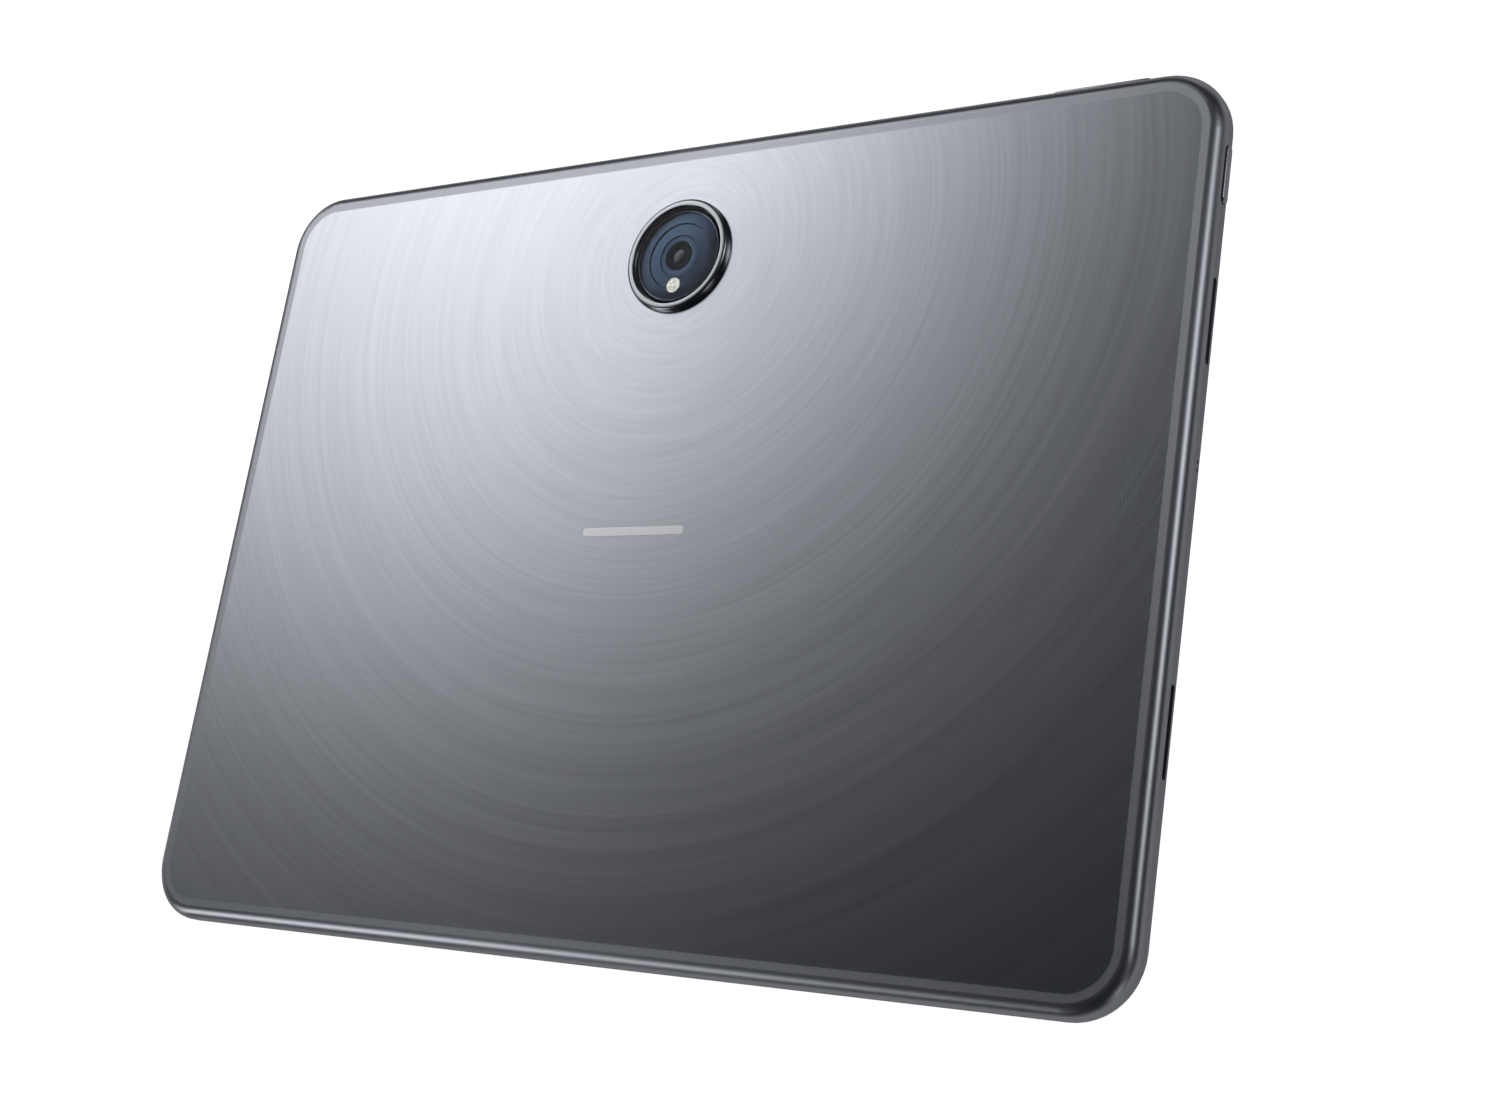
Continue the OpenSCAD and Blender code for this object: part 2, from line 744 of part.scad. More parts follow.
module power_switch_bracket() {
    x1 = power_switch_x - switch_t;
    l = power_len + 2 * key_flange_end + 0.8;
    color("#9a9da2") {
        block(x1 - bracket_t, power_y - l / 2, side_z - bracket_h / 2,
              x1, power_y + l / 2, side_z + bracket_h / 2);
        block(x1 - bracket_t - bracket_foot, power_y - l / 2, side_z + bracket_h / 2 - bracket_t,
              x1, power_y + l / 2, side_z + bracket_h / 2);
    }
}

module volume_rocker() {
    color("#7d8189") {
        bar_y(rocker_flange_y - key_flange_t, half_w + key_proud, rocker_x, side_z, rocker_len, key_h);
        block(rocker_x - rocker_flange_len / 2, rocker_flange_y - key_flange_t, side_z - key_flange_h / 2,
              rocker_x + rocker_flange_len / 2, rocker_flange_y, side_z + key_flange_h / 2);
        for (s = [-1, 1])
            translate([rocker_x + s * rocker_nub_x, rocker_flange_y - key_flange_t + eps, side_z])
                rotate([90, 0, 0]) cylinder(h = nub_h + eps, r = nub_r);
    }
}

module volume_switches() {
    color("#c9a24a") for (s = [-1, 1]) {
        x = rocker_x + s * rocker_nub_x;
        block(x - switch_l / 2, rocker_switch_y - switch_t, side_z - switch_h / 2,
              x + switch_l / 2, rocker_switch_y - switch_dome_t, side_z + switch_h / 2);
        translate([x, rocker_switch_y, side_z]) rotate([90, 0, 0])
            cylinder(h = switch_dome_t + eps, r = switch_dome_r);
    }
}

module volume_switch_bracket() {
    y1 = rocker_switch_y - switch_t;
    color("#9a9da2") {
        block(rocker_x - rocker_len / 2, y1 - bracket_t, side_z - bracket_h / 2,
              rocker_x + rocker_len / 2, y1, side_z + bracket_h / 2);
        block(rocker_x - rocker_len / 2, y1 - bracket_t - bracket_foot, side_z + bracket_h / 2 - bracket_t,
              rocker_x + rocker_len / 2, y1, side_z + bracket_h / 2);
    }
}

// A thin strip on edge, behind the power switch, across to the rocker's switches and to the main board
module side_key_cable() {
    x1 = power_switch_x - switch_t - bracket_t - strip_gap;
    y1 = rocker_switch_y - switch_t - bracket_t - strip_gap;
    turn_y = power_y + 4;
    z0 = pack_z;
    z1 = z0 + strip_w;
    color("#7a5220") {
        block(x1 - cable_t, power_y - 4, z0, x1, turn_y, z1);
        block(board_x1 + 0.3, turn_y - cable_t, z0, x1, turn_y, z1);
        block(rocker_x, turn_y - cable_t, z0, rocker_x + cable_t, y1, z1);
        block(rocker_x - rocker_nub_x - 1, y1 - cable_t, z0, rocker_x + rocker_nub_x + 1, y1, z1);
    }
}

module speaker(sx, sy) {
    cone_r = 9;
    neck_x = cavity_l / 2 - mesh_t - 2 * fit_gap;
    z_top = inner_back_z - 0.1;
    color("#1c1d20") difference() {
        union() {
            translate([sx * speaker_x, sy * speaker_y, 0])
                plate(speaker_w, speaker_len, 2, pack_z, speaker_h);
            block(min(sx * (speaker_x + speaker_w / 2 - 1), sx * neck_x), sy * speaker_y - slot_len / 2 - 1,
                  side_z - slot_h / 2 + 0.4, max(sx * (speaker_x + speaker_w / 2 - 1), sx * neck_x),
                  sy * speaker_y + slot_len / 2 + 1, side_z + slot_h / 2 + 0.5);
        }
        translate([sx * (speaker_x - 1), sy * speaker_y, z_top - 0.4]) cylinder(h = 2, r = cone_r);
    }
}

module speaker_upper_right() { speaker(1, 1); }
module speaker_lower_right() { speaker(1, -1); }
module speaker_upper_left() { speaker(-1, 1); }
module speaker_lower_left() { speaker(-1, -1); }

module speaker_meshes() {
    x1 = cavity_l / 2 - fit_gap;
    color("#0c0c0e") for (sx = [-1, 1], sy = [-1, 1])
        block(min(sx * x1, sx * (x1 - mesh_t)), sy * speaker_y - slot_len / 2 - 1, side_z - slot_h / 2 - 0.3,
              max(sx * x1, sx * (x1 - mesh_t)), sy * speaker_y + slot_len / 2 + 1, side_z + slot_h / 2 + 0.5);
}

module microphone() {
    y = (mic_ys[0] + mic_ys[1]) / 2;
    color("#b9a15a") block(cavity_l / 2 - 1.15, y - 2, mic_z - 0.8, cavity_l / 2 - 0.05, y + 2, mic_z + 1.8);
}

module usb_shell() {
    color("#b8bbc0") difference() {
        bar_x(port_x0, port_x1, 0, side_z, port_w, port_h);
        bar_x(port_x0 - 1, port_x1 + 1, 0, side_z, port_w - 2 * port_wall, port_h - 2 * port_wall);
    }
}

module usb_tongue() {
    color("#15161a") {
        bar_x(port_x1 - tongue_base_l, port_x1, 0, side_z,
              port_w - 2 * port_wall - 0.02, port_h - 2 * port_wall - 0.02);
        block(port_x0 + 0.9, -tongue_w / 2, side_z - tongue_t / 2,
              port_x1 - tongue_base_l + 0.1, tongue_w / 2, side_z + tongue_t / 2);
    }
}

module usb_board() {
    color("#1d4f33") difference() {
        block(usb_board_x0, -usb_board_w / 2, pcb_z, usb_board_x1, usb_board_w / 2, pcb_z + pcb_t);
        block(usb_board_x0 - 1, -port_w / 2 - 0.2, 0, port_x1 + 0.2, port_w / 2 + 0.2, 9);
        screw_holes(usb_holes);
    }
}

module usb_cable() {
    x0 = usb_board_x1 - 9;
    w = usb_cable_w;
    color("#6b4a1e") {
        block(x0, 2, cable_z, x0 + w, usb_end_y, cable_z + cable_t);
        block(x0, usb_end_y - w / 2, cable_z, usb_end_x + w, usb_end_y + w / 2, cable_z + cable_t);
        block(x0 + 0.5, 2, cable_z + cable_t - eps, x0 + w - 0.5, 5, pcb_z);
        block(usb_end_x - 2, usb_end_y - 2, cable_z + cable_t - eps, usb_end_x + w, usb_end_y + 2, pcb_z);
    }
}

module dock_contacts() {
    color("#e0c98a") for (i = [-1 : 1])
        bar_y(-half_w + dock_recess, -half_w + side_wall, dock_x + i * dock_pitch, dock_z,
              dock_pad[0], dock_pad[1]);
}

module dock_contact_holder() {
    l = 2 * dock_pitch + dock_pad[0] + 3;
    color("#1b1c1f") block(dock_x - l / 2, -half_w + side_wall, ledge_z + 0.3,
                           dock_x + l / 2, -gap_y0, dock_z + 2.2);
}

module edge_magnets() {
    l = magnet_l;
    color("#9fa3aa") {
        for (x = upper_magnet_xs)
            block(x - l / 2, gap_y0, magnet_z, x + l / 2, gap_y1, magnet_z + magnet_h);
        for (x = lower_magnet_xs)
            block(x - l / 2, -gap_y1, magnet_z, x + l / 2, -gap_y0, magnet_z + magnet_h);
    }
}

module stylus_charge_coil() {
    w = gap_y1 - gap_y0;
    color("#a8642e") {
        block(coil_xs[0], gap_y0 + w * 0.3, magnet_z + 0.3,
              coil_xs[1], gap_y1 - w * 0.1, magnet_z + magnet_h - 0.3);
        block(coil_core_xs[0], gap_y0 + w * 0.05, magnet_z,
              coil_core_xs[1], gap_y1, magnet_z + magnet_h);
    }
}

module wifi_antennas() {
    color("#303338") for (s = [-1, 1])
        block(s > 0 ? antenna_xs[0] : -antenna_xs[1], -gap_y1, magnet_z,
              s > 0 ? antenna_xs[1] : -antenna_xs[0], -gap_y0, magnet_z + antenna_h);
}

rear_housing();
back_inlay();
camera_ring();
camera_cover_glass();
camera_glass_tape();
camera_trim_disc();
camera_housing();
lens_barrel();
lens_front_element();
image_sensor();
camera_board();
flash_lens();
flash_led();
cover_glass();
bezel_mask();
cover_glass_tape();
optical_adhesive();
display_panel();
light_guide();
backlight_led_strip();
backlight_tray();
display_cable();
front_camera();
front_camera_lens();
light_sensor();
battery_cell_left();
battery_cell_right();
battery_tape();
battery_board();
main_board();
processor();
memory_chip();
processor_shield();
radio_shield();
board_connectors();
board_cover();
thermal_pad();
board_screws();
power_button();
power_switch();
power_switch_bracket();
volume_rocker();
volume_switches();
volume_switch_bracket();
side_key_cable();
speaker_upper_right();
speaker_lower_right();
speaker_upper_left();
speaker_lower_left();
speaker_meshes();
microphone();
usb_shell();
usb_tongue();
usb_board();
usb_cable();
dock_contacts();
dock_contact_holder();
edge_magnets();
stylus_charge_coil();
wifi_antennas();
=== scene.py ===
"""Looks of a tablet computer that lies on its screen with the metal back up.

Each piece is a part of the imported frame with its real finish, or a finer mesh that stands for one.
"""
import math

import bmesh
import bpy
from mathutils import Matrix, Vector


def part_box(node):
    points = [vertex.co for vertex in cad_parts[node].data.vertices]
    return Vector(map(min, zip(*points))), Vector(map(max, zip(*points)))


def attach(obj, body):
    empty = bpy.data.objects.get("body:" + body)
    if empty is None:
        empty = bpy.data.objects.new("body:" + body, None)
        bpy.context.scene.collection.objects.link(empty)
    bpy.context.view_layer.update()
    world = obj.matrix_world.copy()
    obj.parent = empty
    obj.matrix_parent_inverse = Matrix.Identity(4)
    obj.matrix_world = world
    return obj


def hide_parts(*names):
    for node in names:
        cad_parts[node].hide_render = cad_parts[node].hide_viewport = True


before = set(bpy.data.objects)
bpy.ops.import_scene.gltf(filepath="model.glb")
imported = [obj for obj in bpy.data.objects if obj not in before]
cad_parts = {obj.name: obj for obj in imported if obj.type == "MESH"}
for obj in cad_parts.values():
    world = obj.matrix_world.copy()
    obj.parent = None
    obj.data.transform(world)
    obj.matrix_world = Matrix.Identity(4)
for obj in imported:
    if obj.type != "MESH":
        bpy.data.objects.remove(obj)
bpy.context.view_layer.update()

bl_info = {
    "name": "Tablet Computer Looks",
    "version": (1, 0, 0),
    "blender": (4, 5, 0),
    "location": "View3D > Sidebar > Tablet",
    "description": "Builds the visible pieces, finishes, light and camera of a tablet computer",
    "category": "Object",
}

MM = 0.001


def colour(code):
    """Turns an sRGB hex colour into linear red, green and blue."""
    parts = [int(code[i:i + 2], 16) / 255 for i in (1, 3, 5)]
    return tuple(c / 12.92 if c <= 0.04045 else ((c + 0.055) / 1.055) ** 2.4 for c in parts)


def tint(name, about, code):
    return bpy.props.FloatVectorProperty(
        name=name, description=about, default=colour(code), subtype="COLOR", size=3, min=0, max=1)


def length(name, about, metres, low=0.0, high=1.0):
    return bpy.props.FloatProperty(
        name=name, description=about, default=metres, min=low, max=high, precision=5,
        subtype="DISTANCE", unit="LENGTH")


def amount(name, about, value, low=0.0, high=1.0):
    return bpy.props.FloatProperty(
        name=name, description=about, default=value, min=low, max=high, subtype="FACTOR")


# ---------------------------------------------------------------- places read from the frame

def middle(node):
    low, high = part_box(node)
    return (low + high) / 2


# The camera, its lens and its flash stand on x = 0, so the highest x of their pieces is a radius.
RING_LOW, RING_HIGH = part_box("camera_ring")
CAMERA = middle("camera_ring")
BODY_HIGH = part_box("rear_housing")[1]
BACK_Z = BODY_HIGH.z
HALF_LENGTH = BODY_HIGH.x
HALF_WIDTH = BODY_HIGH.y


# ---------------------------------------------------------------- settings

class TabletColours(bpy.types.PropertyGroup):
    """Colours of the finishes that show."""
    body: tint("Body", "Dyed aluminium of the back and sides", "#B4B7BE")
    polished: tint("Ring", "Bare cut aluminium of the camera ring", "#A8AAB0")
    keys: tint("Keys", "Dyed aluminium of the keys", "#C4C7CE")
    trim: tint("Camera trim", "Ink on the disc under the camera glass", "#434E5C")
    flash: tint("Flash", "Moulded lens over the flash", "#FFF4E2")
    screen_ink: tint("Screen border", "Ink behind the screen's border", "#0B0B0D")
    picture: tint("Picture", "Picture panel when it is off", "#101216")


class TabletSizes(bpy.types.PropertyGroup):
    """Sizes of details that the frame doesn't hold."""
    band_inset: length(
        "Band inset", "Width of the smooth band round the back, from the edge", 4.6 * MM, 3 * MM, 8 * MM)
    groove_pitch: length(
        "Groove pitch", "Distance between the brushed grooves", 0.9 * MM, 0.1 * MM, 2 * MM)
    groove_depth: length("Groove depth", "Depth of the brushed grooves", 0.0006 * MM, 0.0, 0.1 * MM)
    # The groove contrast is painted shade and highlight: it darkens and lightens the groove lines where their
    # relief would catch light.
    groove_painted_shade: amount("Groove contrast", "How far the grooves lighten and darken the dye", 0.2)
    groove_near: amount("Groove force near the camera", "Strength of the grooves next to the camera", 0.7)
    ring_fillet: length("Ring fillet", "Rounding of the camera ring's edges", 0.12 * MM, 0.02 * MM, 0.3 * MM)
    ring_shoulder: length(
        "Ring shoulder", "Rounding of the ring's wall into its top", 1.1 * MM, 0.2 * MM, 1.2 * MM)
    key_fillet: length("Key fillet", "Rounding of the keys' edges", 0.28 * MM, 0.05 * MM, 0.5 * MM)
    glass_fillet: length("Glass fillet", "Rounding of the glass edges", 0.15 * MM, 0.05 * MM, 0.3 * MM)
    trim_step: length("Disc step", "Radius of the step in the dark camera disc", 8 * MM, 6 * MM, 9 * MM)
    trim_inner: length("Disc well", "Radius of the well round the lens", 5 * MM, 4 * MM, 6 * MM)
    trim_fall: length("Disc fall", "How far the outer zone of the disc slopes down", 0.36 * MM, 0.0, 0.4 * MM)
    hole_pitch: length(
        "Mesh pitch", "Distance between the holes of the speaker meshes", 0.62 * MM, 0.4 * MM, 1 * MM)
    hole_width: length(
        "Mesh hole", "Width of each hole of the speaker meshes", 0.36 * MM, 0.1 * MM, 0.6 * MM)


class TabletStage(bpy.types.PropertyGroup):
    """The floor, the light and the camera."""
    floor_size: length("Floor size", "Side of the square floor", 14.0, 1.0, 50.0)
    floor: tint("Floor", "Colour of the floor", "#F4F4F4")
    glow: amount("Floor glow", "Light that comes up through the floor", 1.05, 0.0, 2.0)
    softbox: bpy.props.FloatProperty(
        name="Softbox", description="Width of each softbox as the tablet sees it, in degrees", default=30,
        min=10, max=60)
    lens: bpy.props.FloatProperty(
        name="Focal length", description="Focal length of the camera", default=51.35, min=10, max=200,
        unit="CAMERA")
    light: amount("Light", "Strength of all the lights together", 1.0, 0.0, 5.0)


# ---------------------------------------------------------------- small tools

def put(tree, kind, inputs=(), out=None, **settings):
    """Adds a shader node with its settings and inputs; gives the node, or the output named."""
    made = tree.nodes.new("ShaderNode" + kind)
    for key, value in settings.items():
        setattr(made, key, value)
    for key, value in dict(inputs).items():
        socket = made.inputs[key]
        if isinstance(value, bpy.types.NodeSocket):
            tree.links.new(value, socket)
        elif socket.type == "RGBA":
            socket.default_value = (*tuple(value)[:3], 1)
        else:
            socket.default_value = value
    return made if out is None else made.outputs[out]


def new_material(name):
    """An empty material, its node tree and the place of each point in metres."""
    made = bpy.data.materials.new(name)
    made.use_nodes = True
    made.node_tree.nodes.clear()
    return made, made.node_tree, put(made.node_tree, "TexCoord", out="Object")


def show(tree, pattern, colours=None, rough=None, relief=0.0, **fixed):
    """Ends a material: one pattern moves its colour, roughness and relief; the rest is fixed or linked."""
    inputs = {key.replace("_", " "): value for key, value in fixed.items()}
    if colours:
        inputs["Base Color"] = put(tree, "Mix", {"Factor": pattern, 6: colours[0], 7: colours[1]}, 2,
                                   data_type="RGBA")
    if rough:
        inputs["Roughness"] = put(
            tree, "MapRange", {"Value": pattern, "To Min": rough[0], "To Max": rough[1]}, "Result")
    if relief:
        inputs["Normal"] = put(tree, "Bump", {"Height": pattern, "Distance": relief}, "Normal")
    put(tree, "OutputMaterial", {"Surface": put(tree, "BsdfPrincipled", inputs, "BSDF")})


def finish(name, first, second, grain, stretch=(1, 1, 1), pattern="TexNoise", rough=(0.4, 0.55), depth=0.0,
           **fixed):
    """A material whose colour, roughness and relief follow one pattern of a real size, in metres."""
    if name in bpy.data.materials:
        return bpy.data.materials[name]
    made, tree, place = new_material(name)
    sized = put(tree, "Mapping", {"Vector": place, "Scale": tuple(s / grain for s in stretch)}, "Vector")
    given = "Distance" if pattern == "TexVoronoi" else "Fac"
    drawn = put(tree, pattern, {"Vector": sized, "Scale": 1.0}, given)
    show(tree, drawn, (colour(first), colour(second)), rough, depth, **fixed)
    return made


def shades(base, low, high=1.0):
    """Two shades of one colour, for the low and the high points of a pattern."""
    return tuple(tuple(min(1.0, c * k) for c in base) for k in (low, high))


def dress(material, *nodes):
    """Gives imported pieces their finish."""
    for node in nodes:
        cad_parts[node].material_slots[0].material = material


def corner_radius(node):
    """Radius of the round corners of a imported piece, from where its straight short side ends."""
    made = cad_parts[node]
    places = [made.matrix_world @ v.co for v in made.data.vertices]
    side = max(p.x for p in places)
    return max(p.y for p in places) - max(p.y for p in places if p.x > side - 0.001 * MM)


def arc(points, closed=False, steps=4):
    """Turns each corner (x, y, radius) of an outline into a short curve."""
    made = []
    count = len(points)
    for i, (x, y, radius) in enumerate(points):
        here = Vector((x, y))
        if not radius or (not closed and i in (0, count - 1)):
            made.append((x, y))
            continue
        before = Vector(points[i - 1][:2]) - here
        after = Vector(points[(i + 1) % count][:2]) - here
        start = here + before.normalized() * min(radius, before.length / 2)
        end = here + after.normalized() * min(radius, after.length / 2)
        for k in range(steps + 1):
            t = k / steps
            made.append(tuple(start * (1 - t) ** 2 + here * 2 * t * (1 - t) + end * t * t))
    return made


def skin(mesh, rings, loop=False):
    """Joins rings of points, each with the same count, into one closed skin."""
    rows = [[mesh.verts.new(p) for p in ring] for ring in rings]
    pairs = list(zip(rows, rows[1:] + rows[:1])) if loop else list(zip(rows, rows[1:]))
    for low, high in pairs:
        for i in range(len(low)):
            j = (i + 1) % len(low)
            mesh.faces.new((low[i], low[j], high[j], high[i]))
    if not loop:
        mesh.faces.new(rows[0][::-1])
        mesh.faces.new(rows[-1])


def turned(mesh, profile, x, y, loop=False, count=192):
    """Turns a profile of (radius, z) points round an upright axis, as a lathe does."""
    turns = [math.tau * i / count for i in range(count)]
    skin(mesh, [[(x + r * math.cos(a), y + r * math.sin(a), z) for a in turns] for r, z in profile], loop)


def outline(long, high, radius, inset=0.0, steps=8):
    """Points of a rectangle with round corners, as (along, up), drawn inwards by inset."""
    radius = min(radius, high / 2 * 0.999)
    across, upward, r = long / 2 - radius, high / 2 - radius, max(radius - inset, 0.01 * MM)
    centres = ((across, -upward, -90), (across, upward, 0), (-across, upward, 90), (-across, -upward, 180))
    made = []
    for u, v, first in centres:
        for k in range(steps + 1):
            a = math.radians(first + 90 * k / steps)
            made.append((u + r * math.cos(a), v + r * math.sin(a)))
    return made


def plate_with_holes(mesh, rim, holes, place, thick):
    """A flat plate inside rim, with holes through it; place turns (along, up, depth) into a point."""
    edges = []
    for loop in (rim, *holes):
        ring = [mesh.verts.new(place(u, v, 0.0)) for u, v in loop]
        edges += [mesh.edges.new((ring[i - 1], ring[i])) for i in range(len(ring))]
    faces = [f for f in bmesh.ops.triangle_fill(mesh, edges=edges, use_beauty=True)["geom"]
             if isinstance(f, bmesh.types.BMFace)]
    raised = bmesh.ops.extrude_face_region(mesh, geom=faces, use_keep_orig=True)["geom"]
    shift = Vector(place(0, 0, thick)) - Vector(place(0, 0, 0))
    bmesh.ops.translate(mesh, verts=[v for v in raised if isinstance(v, bmesh.types.BMVert)], vec=shift)


def linked(name, mesh):
    """An object from a mesh, in the scene, with its faces turned outwards."""
    bmesh.ops.recalc_face_normals(mesh, faces=mesh.faces)
    data = bpy.data.meshes.new(name)
    mesh.to_mesh(data)
    mesh.free()
    made = bpy.data.objects.new(name, data)
    bpy.context.scene.collection.objects.link(made)
    return made


def combine(target, other, operation):
    """Joins another mesh onto an object, or cuts it out, for good."""
    tool = linked("tool", other)
    step = target.modifiers.new("combine", "BOOLEAN")
    step.operation, step.object, step.solver = operation, tool, "EXACT"
    seen = target.evaluated_get(bpy.context.evaluated_depsgraph_get())
    data = bpy.data.meshes.new_from_object(seen)
    target.modifiers.clear()
    target.data = data
    data.name = target.name
    bpy.data.objects.remove(tool)


def piece(name, mesh, material, body, slot, *nodes, joins=(), cuts=(), angle=35):
    """Makes an object, smooth up to an angle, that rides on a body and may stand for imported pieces."""
    made = linked(name, mesh)
    for other in joins:
        combine(made, other, "UNION")
    for other in cuts:
        combine(made, other, "DIFFERENCE")
    made.data.materials.clear()
    made.data.materials.append(material)
    made.data.shade_smooth()
    made.data.set_sharp_from_angle(angle=math.radians(angle))
    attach(made, body)
    if nodes:
        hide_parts(*nodes)


def radial(tree, place):
    """Distance from the camera's axis, the direction away from it, and that direction tipped up."""
    away = put(tree, "VectorMath", {0: place, 1: (CAMERA.x, CAMERA.y, 0)}, 0, operation="SUBTRACT")
    flat = put(tree, "VectorMath", {0: away, 1: (1, 1, 0)}, 0, operation="MULTIPLY")
    distance = put(tree, "VectorMath", {0: flat}, "Value", operation="LENGTH")
    outward = put(tree, "VectorMath", {0: flat}, 0, operation="NORMALIZE")
    # Brushing draws the light out along this one; the tip gives upright walls a direction too.
    tipped = put(tree, "VectorMath", {0: outward, 1: (0, 0, 0.35)}, 0, operation="ADD")
    return distance, outward, tipped


def lathe_lines(tree, distance, pitch):
    """Fine rings about the camera's axis, as a turning tool leaves them."""
    steps = put(tree, "Math", {0: distance, 1: pitch}, 0, operation="DIVIDE")
    return put(tree, "TexNoise", {"W": steps, "Scale": 1.0, "Detail": 1.0}, "Fac", noise_dimensions="1D")


def arcs(tree, distance, around, pitch, cells):
    """Noise drawn out along circles: pitch apart across them, so many cells to a radian along them."""
    steps = put(tree, "Math", {0: distance, 1: pitch}, 0, operation="DIVIDE")
    across = put(tree, "CombineXYZ", {"Z": steps}, 0)
    along = put(tree, "VectorMath", {0: around, 1: (cells, cells, 0)}, 0, operation="MULTIPLY")
    where = put(tree, "VectorMath", {0: across, 1: along}, 0, operation="ADD")
    return put(tree, "TexNoise", {"Vector": where, "Scale": 1.0, "Detail": 2.0}, "Fac")


# ---------------------------------------------------------------- finishes of the outside

def brushed_body(colours, sizes):
    """Anodised aluminium, brushed in circles about the camera, with a bead-blasted band and sides."""
    # The circles stretch the light into soft fans that point at the camera; the band and the sides stay even.
    made, tree, place = new_material("circular_brushed_anodised_aluminium")
    radius, around, tipped = radial(tree, place)
    # Real grooves are about 0.05 mm apart; they are drawn as coarse as it takes to show.
    fine = arcs(tree, radius, around, sizes.groove_pitch, cells=1.6)
    broad = arcs(tree, radius, around, sizes.groove_pitch * 4, cells=1.1)
    broad_share = 0.4
    both = put(tree, "Mix", {"Factor": broad_share, 2: fine, 3: broad}, 0, data_type="FLOAT")
    # The brush runs slower near the middle, so its lines are fainter there.
    near, far = 20 * MM, 110 * MM
    force = put(tree, "MapRange", {"Value": radius, "From Min": near, "From Max": far,
                                   "To Min": sizes.groove_near, "To Max": 1.0}, "Result")
    centred = put(tree, "Math", {0: both, 1: 0.5}, 0, operation="SUBTRACT")
    lines = put(tree, "Math", {0: centred, 1: force, 2: 0.5}, 0, operation="MULTIPLY_ADD")

    # Distance in from the edge of the rounded rectangle, for the smooth band round the back.
    corner = corner_radius("rear_housing")
    core = (HALF_LENGTH - corner, HALF_WIDTH - corner, 0)
    folded = put(tree, "VectorMath", {0: place}, 0, operation="ABSOLUTE")
    past = put(tree, "VectorMath", {0: folded, 1: core}, 0, operation="SUBTRACT")
    past = put(tree, "VectorMath", {0: past, 1: (1, 1, 0)}, 0, operation="MULTIPLY")
    outer = put(tree, "VectorMath", {0: past, 1: (0, 0, 0)}, 0, operation="MAXIMUM")
    reach = put(tree, "VectorMath", {0: outer}, "Value", operation="LENGTH")
    parts = put(tree, "SeparateXYZ", {0: past})
    nearer = put(tree, "Math", {0: parts.outputs["X"], 1: parts.outputs["Y"]}, 0, operation="MAXIMUM")
    inner = put(tree, "Math", {0: nearer, 1: 0.0}, 0, operation="MINIMUM")
    total = put(tree, "Math", {0: reach, 1: inner}, 0, operation="ADD")
    inset = put(tree, "Math", {0: corner, 1: total}, 0, operation="SUBTRACT")
    blend = 0.15 * MM
    brushed = put(tree, "MapRange", {
        "Value": inset, "From Min": sizes.band_inset - blend, "From Max": sizes.band_inset + blend,
    }, "Result")

    # Blasting leaves a fine even grain of about 0.06 mm, drawn coarser here.
    grain = put(tree, "TexNoise", {"Vector": place, "Scale": 1 / (0.35 * MM), "Detail": 2.0}, "Fac")
    # The groove lines follow the metal's own brushing, but their darker and lighter shades are painted shade
    # and highlight standing in for the grooves' relief.
    deep, pale = shades(colours.body, 1 - sizes.groove_painted_shade, 1 + sizes.groove_painted_shade)
    dull, even = shades(colours.body, 0.97)
    brushed_colour_and_painted_shade = put(tree, "Mix", {"Factor": lines, 6: deep, 7: pale}, 2, data_type="RGBA")
    blasted_colour = put(tree, "Mix", {"Factor": grain, 6: dull, 7: even}, 2, data_type="RGBA")
    brushed_rough = put(tree, "MapRange", {"Value": lines, "To Min": 0.22, "To Max": 0.24}, "Result")
    blasted_rough = put(tree, "MapRange", {"Value": grain, "To Min": 0.33, "To Max": 0.38}, "Result")
    dye = put(tree, "Mix", {"Factor": brushed, 6: blasted_colour, 7: brushed_colour_and_painted_shade}, 2, data_type="RGBA")
    rough = put(tree, "Mix", {"Factor": brushed, 2: blasted_rough, 3: brushed_rough}, 0, data_type="FLOAT")
    cut = put(tree, "Math", {0: brushed, 1: lines}, 0, operation="MULTIPLY")
    relief = put(tree, "Bump", {"Height": cut, "Distance": sizes.groove_depth}, "Normal")
    show(tree, None, Base_Color=dye, Roughness=rough, Normal=relief, Tangent=tipped,
         Metallic=1.0, Anisotropic=0.4)
    return made


def cut_ring(colours):
    """Aluminium, turned with a diamond and polished: bright, with fine rings that streak the light."""
    made, tree, place = new_material("diamond_turned_aluminium")
    # The tool feeds about 0.02 mm a turn; the rings are drawn about 0.12 mm apart.
    distance, _, tipped = radial(tree, place)
    rings = lathe_lines(tree, distance, 0.12 * MM)
    show(tree, rings, shades(colours.polished, 0.9), (0.22, 0.28), 0.001 * MM, Metallic=1.0, Anisotropic=0.5,
         Tangent=tipped)
    return made


def polished_bar():
    """Aluminium, lapped flat to a silver satin: a clean bright mark with a faint straight haze."""
    return finish("lapped_satin_aluminium", "#D8D9DC", "#E6E7EA", 0.4 * MM, stretch=(0.02, 1, 0.02),
                  rough=(0.24, 0.3), Metallic=1.0)


def blasted_keys(colours):
    """Anodised aluminium, bead-blasted: a soft even satin on the keys, a little paler than the body."""
    made, tree, place = new_material("blasted_anodised_aluminium")
    grain = put(tree, "TexNoise", {"Vector": place, "Scale": 1 / (0.3 * MM), "Detail": 2.0}, "Fac")
    show(tree, grain, shades(colours.keys, 0.95), (0.24, 0.32), 0.003 * MM, Metallic=1.0)
    return made


